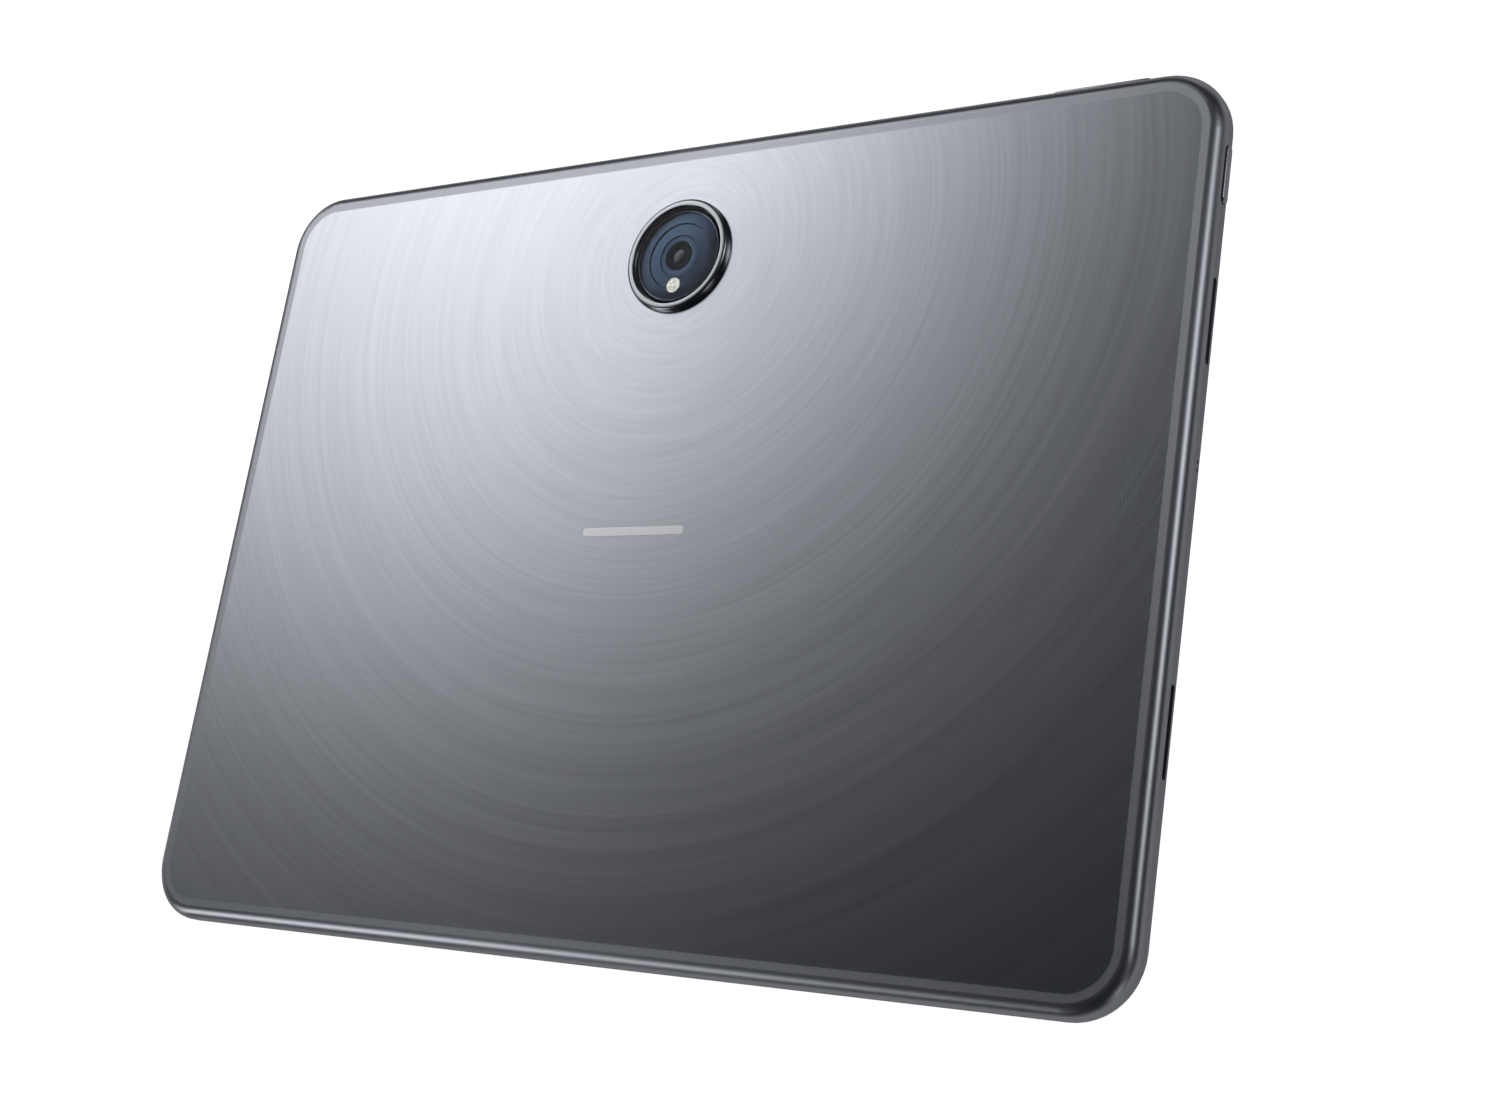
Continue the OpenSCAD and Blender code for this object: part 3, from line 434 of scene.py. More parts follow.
def clear_glass(name, ior, haze, stain, rough):
    """Ground and polished glass: a reflection over what lies under it, softened by a faint film."""
    # It is thin and flat, so it bends nothing; a coat against glare is drawn as a lower index of refraction.
    made, tree, place = new_material(name)
    film = put(tree, "TexNoise", {"Vector": place, "Scale": 1 / haze}, "Fac")
    tinted = put(tree, "Mix", {"Factor": film, 6: (1, 1, 1), 7: colour(stain)}, 2, data_type="RGBA")
    dull = put(tree, "MapRange", {"Value": film, "To Min": rough[0], "To Max": rough[1]}, "Result")
    clear = put(tree, "BsdfTransparent", {"Color": tinted}, 0)
    gloss = put(tree, "BsdfAnisotropic", {"Roughness": dull}, 0)
    slant = put(tree, "Fresnel", {"IOR": ior}, 0)
    put(tree, "OutputMaterial", {"Surface": put(tree, "MixShader", {0: slant, 1: clear, 2: gloss}, 0)})
    return made


def spun_ink(colours):
    """Aluminium disc, spun and then inked dark: blue-grey, with fine circles that fan the light out."""
    made, tree, place = new_material("spun_inked_aluminium")
    # Spinning leaves rings 0.05 mm apart; they are drawn about 0.25 mm apart.
    distance, _, tipped = radial(tree, place)
    rings = lathe_lines(tree, distance, 0.25 * MM)
    show(tree, rings, shades(colours.trim, 0.7), (0.2, 0.26), Metallic=1.0, Anisotropic=0.4, Tangent=tipped)
    return made


def moulded_flash(colours):
    """Acrylic over a silvered cup, moulded with small prisms: warm white cells that catch the light apart."""
    made, tree, place = new_material("moulded_prism_acrylic")
    # Prisms about 0.7 mm across.
    cells = put(tree, "TexVoronoi", {"Vector": place, "Scale": 1 / (0.7 * MM)}, "Distance")
    base = tuple(colours.flash)
    warm = (base[0], base[1] * 0.88, base[2] * 0.72)
    # The silvered cup behind the lens throws most of the light back, as metal does.
    show(tree, cells, (base, warm), (0.22, 0.34), 0.02 * MM, Metallic=0.85)
    return made


def coated_lens(name):
    """Optical glass, ground and coated: nearly black, with a blue-violet sheen from the coating."""
    made, tree, place = new_material(name)
    # The coating is a film about 0.0001 mm thick; its thickness drifts a little over the lens.
    drift = put(tree, "TexNoise", {"Vector": place, "Scale": 1 / (1.5 * MM)}, "Fac")
    show(tree, drift, (colour("#0A121C"), colour("#141F33")), (0.05, 0.1), IOR=1.3, Thin_Film_IOR=1.38,
         Thin_Film_Thickness=put(tree, "MapRange", {"Value": drift, "To Min": 125, "To Max": 135}, "Result"))
    return made


# ---------------------------------------------------------------- finishes of the inside

def foam():
    """Acrylic foam tape, cut from a roll: matt black with fine open cells."""
    return finish("cut_foam_tape", "#0F1011", "#1D1E20", 0.3 * MM, pattern="TexVoronoi", rough=(0.75, 0.95),
                  depth=0.03 * MM)


def moulded_black():
    """Polycarbonate and ABS, moulded on a spark-eroded tool: black with a fine even grain."""
    return finish("moulded_black_abs", "#0E0F11", "#1B1C1F", 0.3 * MM, rough=(0.4, 0.6), depth=0.01 * MM)


def stamped_steel():
    """Stainless steel, rolled and stamped: grey, with short straight rolling lines."""
    return finish("stamped_stainless_steel", "#8F9193", "#B3B5B7", 0.35 * MM, stretch=(0.06, 1, 1),
                  rough=(0.25, 0.42), depth=0.003 * MM, Metallic=1.0)


def ribbon():
    """Polyimide ribbon with copper tracks: amber-brown, with straight tracks 0.4 mm apart."""
    return finish("laminated_polyimide_ribbon", "#3A2410", "#8A5A24", 0.4 * MM, stretch=(1, 0.04, 1),
                  rough=(0.3, 0.45), depth=0.02 * MM)


def circuit():
    """Glass fibre board under green solder mask: tracks and copper areas show as lighter cells."""
    return finish("solder_masked_glass_fibre", "#0E3A26", "#2A6A44", 1.4 * MM, pattern="TexVoronoi",
                  rough=(0.3, 0.5), depth=0.02 * MM)


def sensor_chip():
    """Silicon under cover glass: dark green-grey with a fine cell pattern."""
    return finish("polished_silicon", "#1C2A2E", "#33474C", 0.15 * MM, pattern="TexVoronoi",
                  rough=(0.1, 0.25))


# ---------------------------------------------------------------- operators

class TABLET_OT_stage(bpy.types.Operator):
    """Adds the floor, the soft lights, the pale surroundings and the camera"""
    bl_idname = "tablet.stage"
    bl_label = "Stage"

    def execute(self, context):
        stage = context.scene.tablet_stage
        scene = context.scene
        scene.view_settings.view_transform = "Standard"

        camera = bpy.data.objects.new("camera", bpy.data.cameras.new("camera"))
        right, up = Vector((0.8291, 0.1507, -0.5384)), Vector((0.0140, 0.9571, 0.2894))
        turn = Matrix((right, up, right.cross(up))).transposed()
        camera.matrix_world = Matrix.Translation((0.2835, -0.1187, 0.3632)) @ turn.to_4x4()
        camera.data.lens = stage.lens
        camera.data.sensor_width = 36
        camera.data.clip_start = 0.01
        camera.data.clip_end = 100
        scene.collection.objects.link(camera)
        scene.camera = camera

        half = stage.floor_size / 2
        mesh = bmesh.new()
        bmesh.ops.create_grid(mesh, x_segments=8, y_segments=8, size=half)
        bmesh.ops.translate(mesh, verts=mesh.verts, vec=(0, 0, -0.05 * MM))
        data = bpy.data.meshes.new("floor")
        mesh.to_mesh(data)
        mesh.free()
        floor = bpy.data.objects.new("floor", data)
        scene.collection.objects.link(floor)
        # Opal acrylic, cast and lit from below as a light table: white, matt and without shadows.
        opal, tree, place = new_material("cast_opal_acrylic")
        mottle = put(tree, "TexNoise", {"Vector": place, "Scale": 1 / (20 * MM)}, "Fac")
        milk = shades(stage.floor, 0.99)
        seen = put(tree, "LightPath", out="Is Camera Ray")
        # It looks white to the camera, and the tablet's sides mirror only this share of the glow.
        mirrored = 0.12
        show(tree, mottle, milk, (0.8, 0.9), Specular_IOR_Level=0.1,
             Emission_Color=put(tree, "Mix", {"Factor": mottle, 6: milk[0], 7: milk[1]}, 2, data_type="RGBA"),
             Emission_Strength=put(tree, "MapRange", {"Value": seen, "To Min": stage.glow * mirrored,
                                                      "To Max": stage.glow}, "Result"))
        opal.cycles.emission_sampling = "NONE"
        data.materials.append(opal)

        # Round softboxes, brightest in the middle: direction round and up in degrees, and radiance.
        far, half_angle = 4.0, math.radians(stage.softbox / 2)
        wide = 2 * far * math.tan(half_angle)
        # An even disc of radiance 1 sends out this much; narrowing the beam gathers it into the middle.
        even = math.pi * math.pi / 4 * wide ** 2
        gathered = (math.tan(half_angle) - half_angle) / math.tan(half_angle)
        for name, turn_deg, rise_deg, radiance in (
                ("left_softbox", 150, 39, 2.48), ("right_softbox", 135, 39, 2.25),
                ("fill_softbox", 165, 39, 0.41), ("side_softbox", 216, 28, 4.3),
                ("edge_softbox", 27, 46, 4.6), ("front_softbox", 315, 16, 1.3),
                ("low_left_softbox", 180, 6, 0.8), ("low_top_softbox", 90, 6, 0.8)):
            lamp = bpy.data.lights.new(name, "AREA")
            lamp.shape = "DISK"
            lamp.size = wide
            lamp.spread = 2 * half_angle
            lamp.energy = radiance * even * gathered * stage.light
            made = bpy.data.objects.new(name, lamp)
            around, rise = math.radians(turn_deg), math.radians(rise_deg)
            towards = Vector((math.cos(around) * math.cos(rise), math.sin(around) * math.cos(rise),
                              math.sin(rise)))
            made.location = towards * far
            made.rotation_mode = "QUATERNION"
            made.rotation_quaternion = towards.to_track_quat("Z", "Y")
            made.visible_camera = False
            scene.collection.objects.link(made)

        # The surroundings look pale, and light the tablet only a little.
        world = bpy.data.worlds.new("pale_room")
        world.use_nodes = True
        tree = world.node_tree
        tree.nodes.clear()
        dim = put(tree, "Background", {"Color": colour("#A8BEE8"), "Strength": 0.018}, 0)
        pale = put(tree, "Background", {"Color": (1, 1, 1), "Strength": 1.0}, 0)
        seen = put(tree, "LightPath", out="Is Camera Ray")
        put(tree, "OutputWorld", {"Surface": put(tree, "MixShader", {0: seen, 1: dim, 2: pale}, 0)})
        scene.world = world
        return {"FINISHED"}


class TABLET_OT_housing(bpy.types.Operator):
    """Gives the metal housing its brushed back, its smooth band and sides, and the inlay its polish"""
    bl_idname = "tablet.housing"
    bl_label = "Housing"

    def execute(self, context):
        colours, sizes = context.scene.tablet_colours, context.scene.tablet_sizes
        dress(brushed_body(colours, sizes), "rear_housing")
        dress(polished_bar(), "back_inlay")
        return {"FINISHED"}


class TABLET_OT_camera_module(bpy.types.Operator):
    """Builds the camera ring, its glass, the dark disc, the lens and the flash"""
    bl_idname = "tablet.camera_module"
    bl_label = "Camera"

    def execute(self, context):
        colours, sizes = context.scene.tablet_colours, context.scene.tablet_sizes
        x, y = CAMERA.x, CAMERA.y

        # Ring: skirt in the housing's hole, flange on the back, sloping wall and a pocket for the glass.
        outer, top = RING_HIGH.x, RING_HIGH.z
        fillet = sizes.ring_fillet
        glass_low, glass_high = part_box("camera_cover_glass")
        trim_low, trim_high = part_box("camera_trim_disc")
        tape_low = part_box("camera_glass_tape")[0].z
        fit, glass_fit, bevel = 0.05 * MM, 0.1 * MM, 0.1 * MM
        lip_width, lip_drop = 0.85 * MM, 0.45 * MM
        flange_width, flange_rise, lean = 1.3 * MM, 0.25 * MM, 0.15 * MM
        pocket = glass_high.x + glass_fit
        recess = trim_high.x + fit
        lip, lip_z = trim_high.x - lip_width, trim_high.z - lip_drop
        skirt = outer - flange_width
        profile = arc([
            (lip, RING_LOW.z, 0), (skirt, RING_LOW.z, 0), (skirt, BACK_Z, 0), (outer, BACK_Z, 0),
            (outer, BACK_Z + flange_rise, fillet), (outer - lean, top, sizes.ring_shoulder),
            (pocket + bevel, top, fillet / 2), (pocket, top - bevel, fillet / 2), (pocket, tape_low, 0),
            (recess, tape_low, 0), (recess, lip_z, 0), (lip, lip_z, 0)], closed=True)
        mesh = bmesh.new()
        turned(mesh, profile, x, y, loop=True)
        piece("turned_camera_ring", mesh, cut_ring(colours), "tablet", "polished_aluminium", "camera_ring")

        # Cover glass: a flat disc with a ground edge. Its faces end in a small flat at the axis.
        edge, axis = sizes.glass_fillet, 0.5 * MM
        low, high, r = glass_low.z, glass_high.z, glass_high.x
        mesh = bmesh.new()
        turned(mesh, arc([(axis, low, 0), (r, low, edge), (r, high, edge), (axis, high, 0)]), x, y)
        glass = clear_glass("polished_camera_glass", 1.15, 4 * MM, "#E4EEF8", (0.16, 0.2))
        piece("polished_camera_glass", mesh, glass, "tablet", "camera_glass", "camera_cover_glass")

        # Dark disc: three zones that slope down and outwards, steps between them and a bore for the lens.
        flash_low, flash_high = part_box("flash_lens")
        flash = middle("flash_lens")
        flash_r = flash_high.x
        barrel_low, barrel_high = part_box("lens_barrel")
        bore_fit, tube_wall, riser, facets = 0.3 * MM, 0.55 * MM, 0.1 * MM, 96
        bore = barrel_high.x + bore_fit
        step, inner, fall = sizes.trim_step, sizes.trim_inner, sizes.trim_fall
        rim, base_z, top_z = trim_high.x, lip_z, trim_high.z
        # The feet of the two steps and the edge of the bore lie this share of the fall below the top.
        step_foot, inner_foot, bore_edge = 0.85, 0.7, 0.5
        disc = bmesh.new()
        turned(disc, arc([
            (bore, base_z, 0), (rim, base_z, 0), (rim, top_z - fall, 0.04 * MM),
            (step + riser, top_z, 0.05 * MM), (step - riser, top_z - fall * step_foot, 0.04 * MM),
            (inner + riser, top_z, 0.05 * MM), (inner - riser, top_z - fall * inner_foot, 0.05 * MM),
            (bore, top_z - fall * bore_edge, 0.03 * MM)], closed=True), x, y, loop=True)
        tube_r, tube_top = flash_r + tube_wall, base_z + 0.1 * MM
        tube = bmesh.new()
        turned(tube, [(axis, trim_low.z), (tube_r, trim_low.z), (tube_r, tube_top), (axis, tube_top)],
               flash.x, flash.y, count=facets)
        hole_r, hole_low, hole_high = flash_r + fit, trim_low.z - MM, top_z + MM
        hole = bmesh.new()
        turned(hole, [(axis, hole_low), (hole_r, hole_low), (hole_r, hole_high), (axis, hole_high)],
               flash.x, flash.y, count=facets)
        piece("spun_camera_disc", disc, spun_ink(colours), "tablet", "trim_plastic", "camera_trim_disc",
              joins=[tube], cuts=[hole])

        # Barrel: a stepped cone down to the glass, as the baffles of a lens are.
        top, wall = barrel_high.z, barrel_high.x
        lens_low, lens_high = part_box("lens_front_element")
        seat, cup = lens_low.z, lens_high.x + fit
        well, back_hole, shelf = 1.3 * MM, 2.4 * MM, barrel_low.z + 0.6 * MM
        # The baffles in mm: how far in from the wall, how far down from the top, and rounding.
        baffles = [(wall - inward * MM, top - down * MM, rounding * MM) for inward, down, rounding in (
            (0, 0, 0.12), (0.35, 0, 0.05), (0.45, 0.08, 0.03), (0.75, 0.08, 0.03), (0.85, 0.16, 0.03))]
        barrel = bmesh.new()
        turned(barrel, arc([
            (back_hole, barrel_low.z, 0), (wall, barrel_low.z, 0.1 * MM), *baffles,
            (cup + 0.1 * MM, top - 0.18 * MM, 0.03 * MM), (cup, top - 0.24 * MM, 0.02 * MM), (cup, seat, 0),
            (well, seat, 0), (well, shelf, 0), (back_hole, shelf, 0)], closed=True), x, y, loop=True)
        # Polycarbonate filled with carbon: a dull black that swallows light.
        black = finish("moulded_black_polycarbonate", "#0A0B0D", "#17191C", 0.25 * MM, rough=(0.35, 0.55),
                       depth=0.004 * MM, Specular_IOR_Level=0.12)
        piece("stepped_lens_barrel", barrel, black, "focus_lens", "black_plastic", "lens_barrel")

        # Front lens: a flat base and a domed face with a blue-violet coating.
        r, crown, slices = lens_high.x, 0.22 * MM, 14
        dome = [(r * math.cos(a), lens_high.z - crown + crown * math.sin(a))
                for a in (math.pi / 2 * k / slices for k in range(slices))]
        lens = bmesh.new()
        turned(lens, [(0.2 * MM, seat), (r, seat), *dome, (0.03 * MM, lens_high.z)], x, y, count=128)
        piece("domed_front_lens", lens, coated_lens("coated_lens_glass"), "focus_lens", "lens_glass",
              "lens_front_element", angle=50)

        # Flash: a moulded lens with small ring prisms over the lamp.
        top, r = flash_high.z, flash_r
        rings, border, land, prism_wide, prism_deep = 5, 0.06 * MM, 0.1 * MM, 0.24 * MM, 0.012 * MM
        prisms = []
        for k in range(rings):
            start = r * (1 - k / rings) - border
            prisms += [(start, top, 0), (start - land, top, 0), (start - prism_wide, top - prism_deep, 0)]
        lens = bmesh.new()
        turned(lens, arc([(0.1 * MM, flash_low.z, 0), (r, flash_low.z, 0), (r, top, border),
                          *prisms[:-1], (0.05 * MM, top, 0)]), flash.x, flash.y, count=facets)
        piece("moulded_flash_lens", lens, moulded_flash(colours), "tablet", "flash_lens_plastic",
              "flash_lens")
        # Phosphor over a lamp chip: a flat yellow, slightly speckled.
        dress(finish("cast_phosphor", "#E9C84A", "#F6E07A", 0.2 * MM, rough=(0.5, 0.7)), "flash_led")
        dress(foam(), "camera_glass_tape")
        dress(black, "camera_housing")
        dress(sensor_chip(), "image_sensor")
        dress(ribbon(), "camera_board")
        return {"FINISHED"}


class TABLET_OT_keys(bpy.types.Operator):
    """Builds the power button and the volume rocker, and dresses their switches, brackets and cable"""
    bl_idname = "tablet.keys"
    bl_label = "Side keys"

    def execute(self, context):
        colours, sizes = context.scene.tablet_colours, context.scene.tablet_sizes
        satin = blasted_keys(colours)
        fillet = sizes.key_fillet
        # Both keys: width of a nub, its length, thickness of the flange, and flange beyond the bar.
        nub, nub_long, flange_thick, flange_over = 1.6 * MM, 0.25 * MM, 0.6 * MM, 0.5 * MM

        # Power button: bar, flange and nub in one skin, from the switch out to the thumb.
        low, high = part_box("power_button")
        at = (low + high) / 2
        flange_long, flange_high = high.y - low.y, high.z - low.z
        flange_ends, corner, bevel = 2.4 * MM, 0.3 * MM, 0.05 * MM
        long, tall = flange_long - flange_ends, flange_high - flange_over
        behind = low.x + nub_long
        front = behind + flange_thick

        def side_ring(depth, across, upward, radius, inset=0.0):
            return [(depth, at.y + u, at.z + v) for u, v in outline(across, upward, radius, inset)]

        rounds = [(math.sin(a), 1 - math.cos(a)) for a in (math.pi / 2 * k / 6 for k in range(7))]
        bar = bmesh.new()
        skin(bar, [
            side_ring(low.x, nub, nub, nub / 2), side_ring(behind, nub, nub, nub / 2),
            side_ring(behind, flange_long, flange_high, corner, bevel),
            side_ring(behind + bevel, flange_long, flange_high, corner),
            side_ring(front, flange_long, flange_high, corner),
            side_ring(front, long, tall, tall / 2),
            *[side_ring(high.x - fillet + fillet * up, long, tall, tall / 2, fillet * back)
              for up, back in rounds]])
        piece("blasted_power_button", bar, satin, "power_key", "key_aluminium", "power_button")

        # Volume rocker: a long bar, a short flange it rocks on, and a nub at each end.
        low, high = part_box("volume_rocker")
        spot = (low + high) / 2
        long, tall = high.x - low.x, high.z - low.z - flange_over
        back = low.y + nub_long
        # Pieces that are joined overlap a little, so that the join is clean.
        rocking_long, nub_inset, overlap = 6 * MM, 3.5 * MM, 0.001 * MM

        def top_ring(depth, across, upward, radius, inset=0.0, along=0.0):
            points = outline(across, upward, radius, inset)
            return [(spot.x + along + u, depth, spot.z + v) for u, v in points]

        bar = bmesh.new()
        skin(bar, [top_ring(back, long, tall, tall / 2)] + [
            top_ring(high.y - fillet + fillet * up, long, tall, tall / 2, fillet * inward)
            for up, inward in rounds])
        flange = bmesh.new()
        skin(flange, [top_ring(depth, rocking_long, high.z - low.z, 0.2 * MM)
                      for depth in (back - overlap, back + flange_thick)])
        nubs = []
        for side in (-1, 1):
            end = bmesh.new()
            along = side * (long / 2 - nub_inset)
            skin(end, [top_ring(depth, nub, nub, nub / 2, 0, along) for depth in (low.y, back + 0.1 * MM)])
            nubs.append(end)
        piece("blasted_volume_rocker", bar, satin, "volume_key", "key_aluminium", "volume_rocker",
              joins=[flange, *nubs])

        # Brass, stamped and half dulled: the domes of the switches.
        dress(finish("stamped_brass", "#A8823A", "#C9A45A", 0.6 * MM, stretch=(1, 6, 1), Metallic=1.0,
                     rough=(0.25, 0.4)), "power_switch", "volume_switches", "microphone")
        dress(stamped_steel(), "power_switch_bracket", "volume_switch_bracket")
        dress(ribbon(), "side_key_cable")
        return {"FINISHED"}


class TABLET_OT_openings(bpy.types.Operator):
    """Builds the speaker meshes and the port's contacts, and dresses the port and the dock contacts"""
    bl_idname = "tablet.openings"
    bl_label = "Openings"

    def execute(self, context):
        sizes = context.scene.tablet_sizes

        # Speaker meshes: four thin plates with a square pattern of round holes behind the slots.
        low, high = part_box("speaker_meshes")
        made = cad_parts["speaker_meshes"]
        slot_low = min(abs((made.matrix_world @ v.co).y) for v in made.data.vertices)
        long, thick = high.y - slot_low, 0.15 * MM
        window_z = middle("power_button").z
        pitch, hole = sizes.hole_pitch, sizes.hole_width / 2
        # The rows stand a little closer than the columns, and each hole is drawn with ten sides.
        columns, rows, row_share, sides = 28, 3, 0.8, 10
        sheet = bmesh.new()
        for side_x in (-1, 1):
            for side_y in (-1, 1):
                centre_y = side_y * (slot_low + long / 2)
                face = side_x * (high.x - thick)

                def place(u, v, w):
                    return (face + side_x * w, centre_y + u, (low.z + high.z) / 2 + v)

                lift = window_z - (low.z + high.z) / 2
                holes = [
                    [((i - (columns - 1) / 2) * pitch + hole * math.cos(a),
                      lift + (j - (rows - 1) / 2) * pitch * row_share + hole * math.sin(a))
                     for a in (math.tau * k / sides for k in range(sides))]
                    for i in range(columns) for j in range(rows)]
                rim = outline(long, high.z - low.z, 0.1 * MM, steps=2)
                plate_with_holes(sheet, rim, holes, place, thick)
        # Stainless steel, punched and blackened: dark, with a dull glint on the bars between the holes.
        steel = finish("punched_blackened_steel", "#1A1B1D", "#2C2E31", 0.3 * MM, Metallic=1.0,
                       rough=(0.35, 0.5))
        piece("punched_speaker_meshes", sheet, steel, "tablet", "speaker_mesh_steel", "speaker_meshes")

        # Port contacts: twelve thin gilt strips on each face of the tongue.
        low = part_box("usb_tongue")[0]
        z = middle("usb_tongue").z
        tongue_thick, contacts, spacing = 0.7 * MM, 12, 0.5 * MM
        contact_long, contact_wide, from_end = 2.6 * MM, 0.24 * MM, 1.7 * MM
        strips = bmesh.new()
        for side in (-1, 1):
            for i in range(contacts):
                y = (i - (contacts - 1) / 2) * spacing
                rings = []
                # A strip is sunk a little into the tongue and stands a little proud, with eased edges.
                for depth, inset in ((-0.02 * MM, 0), (0.02 * MM, 0), (0.03 * MM, 0.02 * MM)):
                    height = z + side * (tongue_thick / 2 + depth)
                    rings.append([(low.x + from_end + u, y + v, height)
                                  for u, v in outline(contact_long, contact_wide, 0.08 * MM, inset, 3)])
                skin(strips, rings)
        gilt = finish("gold_plated_copper", "#D8B25C", "#F0D48C", 0.4 * MM, Metallic=1.0, rough=(0.18, 0.3))
        piece("gilt_port_contacts", strips, gilt, "tablet", "contact_gold")
        dress(gilt, "dock_contacts")
        dress(stamped_steel(), "usb_shell")
        dress(moulded_black(), "usb_tongue", "dock_contact_holder")
        return {"FINISHED"}


class TABLET_OT_screen(bpy.types.Operator):
    """Builds the screen glass, and dresses the layers behind it and the front camera"""
    bl_idname = "tablet.screen"
    bl_label = "Screen"

    def execute(self, context):
        colours, sizes = context.scene.tablet_colours, context.scene.tablet_sizes
        low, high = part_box("cover_glass")
        long, wide = high.x - low.x, high.y - low.y
        corner = corner_radius("cover_glass")
        round_by = sizes.glass_fillet
        rounds = [(1 - math.sin(a), 1 - math.cos(a)) for a in (math.pi / 2 * k / 5 for k in range(6))]
        levels = [(low.z + round_by * up, round_by * inward) for inward, up in rounds] + [(high.z, 0.0)]
        sheet = bmesh.new()
        skin(sheet, [[(u, v, z) for u, v in outline(long, wide, corner, inset, 16)] for z, inset in levels])
        glass = clear_glass("toughened_screen_glass", 1.5, 8 * MM, "#F6FAF8", (0.02, 0.05))
        piece("rounded_screen_glass", sheet, glass, "tablet", "screen_glass", "cover_glass")

        border, tree, place = new_material("printed_black_ink")
        print_grain = put(tree, "TexNoise", {"Vector": place, "Scale": 1 / (0.2 * MM)}, "Fac")
        show(tree, print_grain, shades(colours.screen_ink, 1.0, 1.5), (0.5, 0.6))
        dress(border, "bezel_mask")

        # Liquid crystal panel, switched off: near black, with the faint grid of its cells.
        panel, tree, place = new_material("laminated_panel_glass")
        # Cells are 0.1 mm apart, drawn 0.8 mm apart.
        cells = put(tree, "TexVoronoi", {"Vector": place, "Scale": 1 / (0.8 * MM), "Randomness": 0.0},
                    "Distance", distance="CHEBYCHEV")
        show(tree, cells, shades(colours.picture, 1.0, 1.6), (0.15, 0.22), Coat_Weight=0.5)
        dress(panel, "display_panel")
        # Acrylic, moulded with a dot pattern: milky clear with fine white dots.
        dress(finish("dotted_light_guide_acrylic", "#E8ECEE", "#FFFFFF", 1.2 * MM, pattern="TexVoronoi",
                     rough=(0.1, 0.4), Transmission_Weight=0.7, IOR=1.49), "light_guide")
        dress(finish("rolled_tray_aluminium", "#A5A8AC", "#BFC2C6", 1.0 * MM, stretch=(1, 14, 1),
                     Metallic=1.0, rough=(0.3, 0.42), depth=0.003 * MM), "backlight_tray")
        dress(finish("cast_phosphor_strip", "#EBCB52", "#F7E486", 0.5 * MM, rough=(0.5, 0.7)),
              "backlight_led_strip")
        dress(finish("optical_silicone_film", "#F2F5F5", "#FFFFFF", 2 * MM, rough=(0.02, 0.06),
                     Transmission_Weight=0.95, IOR=1.41), "optical_adhesive")
        dress(foam(), "cover_glass_tape")
        dress(ribbon(), "display_cable")
        dress(moulded_black(), "front_camera")
        dress(coated_lens("coated_front_camera_glass"), "front_camera_lens")
        dress(sensor_chip(), "light_sensor")
        return {"FINISHED"}


class TABLET_OT_power(bpy.types.Operator):
    """Dresses the battery cells, their tape and their board"""
    bl_idname = "tablet.power"
    bl_label = "Battery"

    def execute(self, context):
        # Aluminium laminate pouch: pale grey, with soft wrinkles.
        dress(finish("laminated_pouch_foil", "#8E9296", "#B7BABD", 9 * MM, Metallic=0.7, rough=(0.35, 0.5),
                     depth=0.05 * MM), "battery_cell_left", "battery_cell_right")
        # Pull tape: clear, stretchy, slightly milky.
        dress(finish("stretched_acrylic_tape", "#E4E8EA", "#F6F8F8", 3 * MM, stretch=(1, 5, 1),
                     rough=(0.2, 0.4), Transmission_Weight=0.6), "battery_tape")
        dress(circuit(), "battery_board")
        return {"FINISHED"}


class TABLET_OT_boards(bpy.types.Operator):
    """Dresses the circuit boards, their chips, covers, screws and cables"""
    bl_idname = "tablet.boards"
    bl_label = "Circuit boards"

    def execute(self, context):
        dress(circuit(), "main_board", "usb_board")
        # Epoxy, moulded over the chip: matt black with fine silica specks.
        dress(finish("moulded_chip_epoxy", "#141518", "#222428", 0.15 * MM, rough=(0.45, 0.6)),
              "processor", "memory_chip")
        dress(stamped_steel(), "processor_shield", "radio_shield", "board_cover", "board_screws")
        # Filled nylon connectors: ivory, slightly grained.
        dress(finish("moulded_connector_nylon", "#D9D4C6", "#E8E4D8", 0.4 * MM, rough=(0.4, 0.55)),
              "board_connectors")
        # Silicone pad: soft grey with a faint cloth pattern.
        dress(finish("calendered_silicone_pad", "#8C97A4", "#9FAAB6", 0.8 * MM, pattern="TexVoronoi",
                     rough=(0.6, 0.8), depth=0.02 * MM), "thermal_pad")
        dress(ribbon(), "usb_cable")
        return {"FINISHED"}


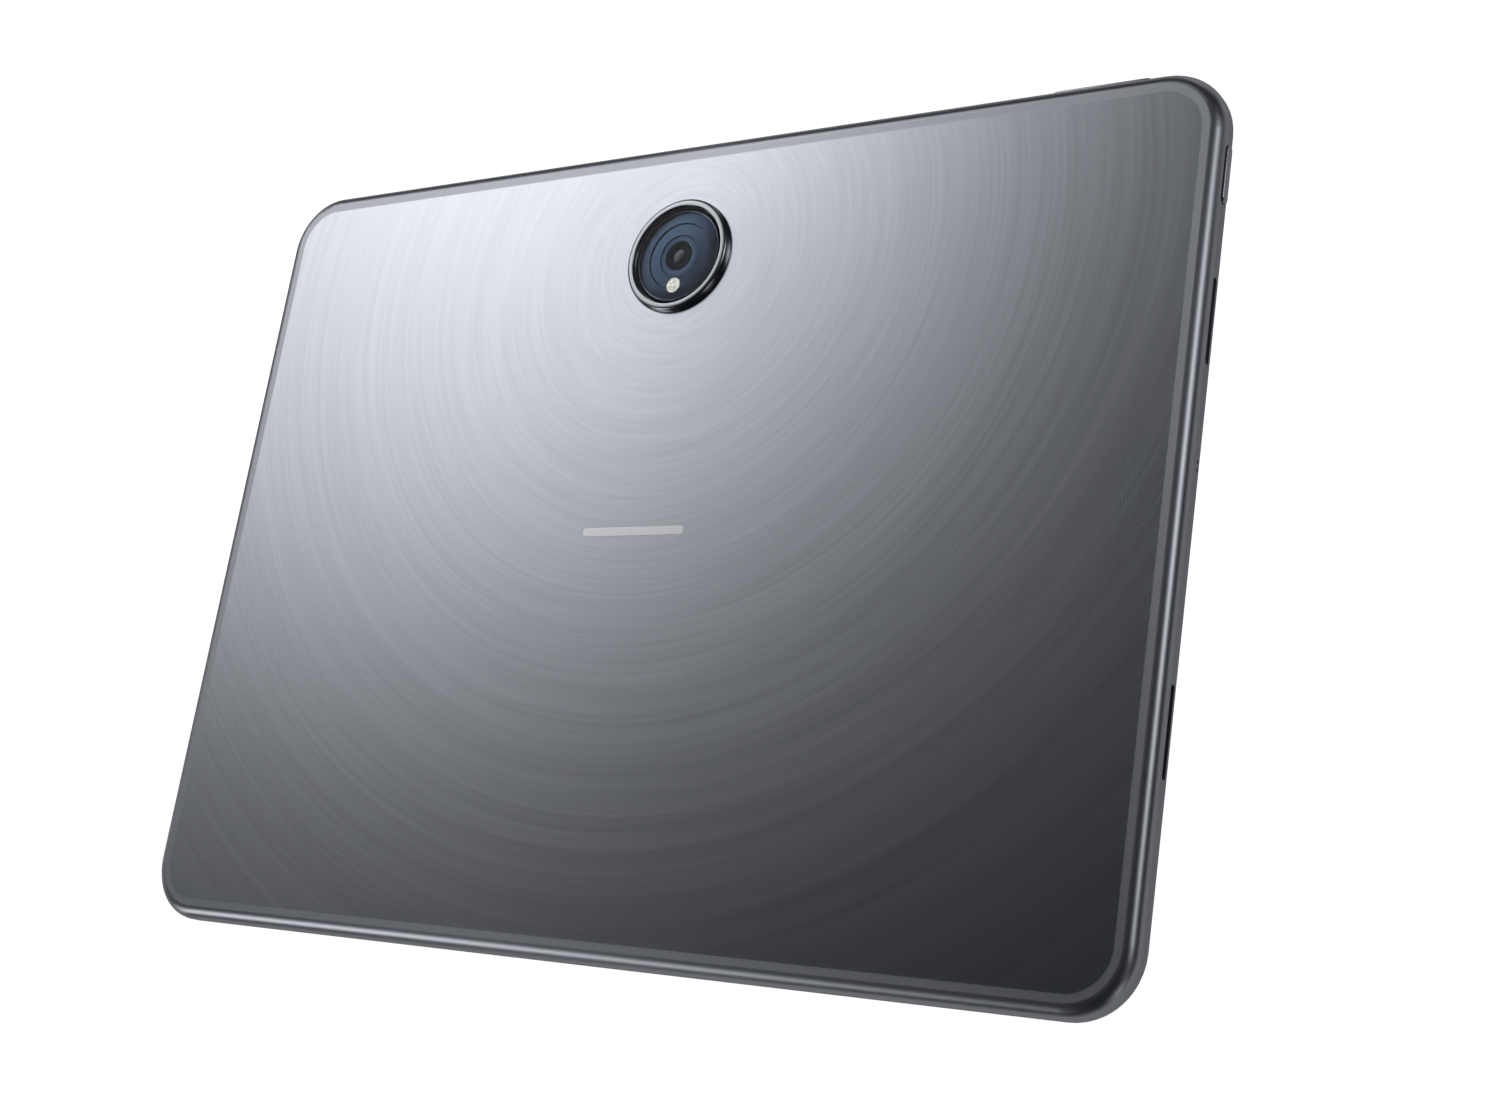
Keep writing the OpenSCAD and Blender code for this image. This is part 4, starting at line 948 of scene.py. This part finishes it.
class TABLET_OT_sound_and_radio(bpy.types.Operator):
    """Dresses the speakers, the antennas, the edge magnets and the stylus coil"""
    bl_idname = "tablet.sound_and_radio"
    bl_label = "Speakers, antennas and magnets"

    def execute(self, context):
        dress(moulded_black(), "speaker_upper_right", "speaker_lower_right", "speaker_upper_left",
              "speaker_lower_left", "wifi_antennas")
        # Nickel plate over pressed magnet: bright, faintly pebbled.
        dress(finish("nickel_plated_magnet", "#B9B7B2", "#CFCDC8", 0.5 * MM, Metallic=1.0, rough=(0.15, 0.28),
                     depth=0.002 * MM), "edge_magnets")
        # Copper wire, wound side by side: orange bands about 0.2 mm wide.
        dress(finish("wound_copper_wire", "#8F4A22", "#D98A55", 0.2 * MM, stretch=(0.02, 1, 1), Metallic=1.0,
                     rough=(0.25, 0.4), depth=0.03 * MM), "stylus_charge_coil")
        return {"FINISHED"}


class TABLET_PT_panel(bpy.types.Panel):
    """Lists the pieces of the tablet"""
    bl_label = "Tablet"
    bl_idname = "TABLET_PT_panel"
    bl_space_type = "VIEW_3D"
    bl_region_type = "UI"
    bl_category = "Tablet"

    def draw(self, context):
        for made in OPERATORS:
            self.layout.operator(made.bl_idname)
        for group in SETTINGS:
            settings = getattr(context.scene, group)
            for key in settings.__annotations__:
                self.layout.prop(settings, key)


SETTINGS = {"tablet_colours": TabletColours, "tablet_sizes": TabletSizes, "tablet_stage": TabletStage}
OPERATORS = (
    TABLET_OT_stage, TABLET_OT_housing, TABLET_OT_camera_module, TABLET_OT_keys, TABLET_OT_openings,
    TABLET_OT_screen, TABLET_OT_power, TABLET_OT_boards, TABLET_OT_sound_and_radio)


def register():
    for made in (*SETTINGS.values(), *OPERATORS, TABLET_PT_panel):
        bpy.utils.register_class(made)
    for key, group in SETTINGS.items():
        setattr(bpy.types.Scene, key, bpy.props.PointerProperty(type=group))


def unregister():
    for key in SETTINGS:
        delattr(bpy.types.Scene, key)
    for made in (TABLET_PT_panel, *reversed(OPERATORS), *reversed(SETTINGS.values())):
        bpy.utils.unregister_class(made)


def main():
    """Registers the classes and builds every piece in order."""
    register()
    for made in OPERATORS:
        group, name = made.bl_idname.split(".")
        getattr(getattr(bpy.ops, group), name)()


if __name__ == "__main__":
    main()
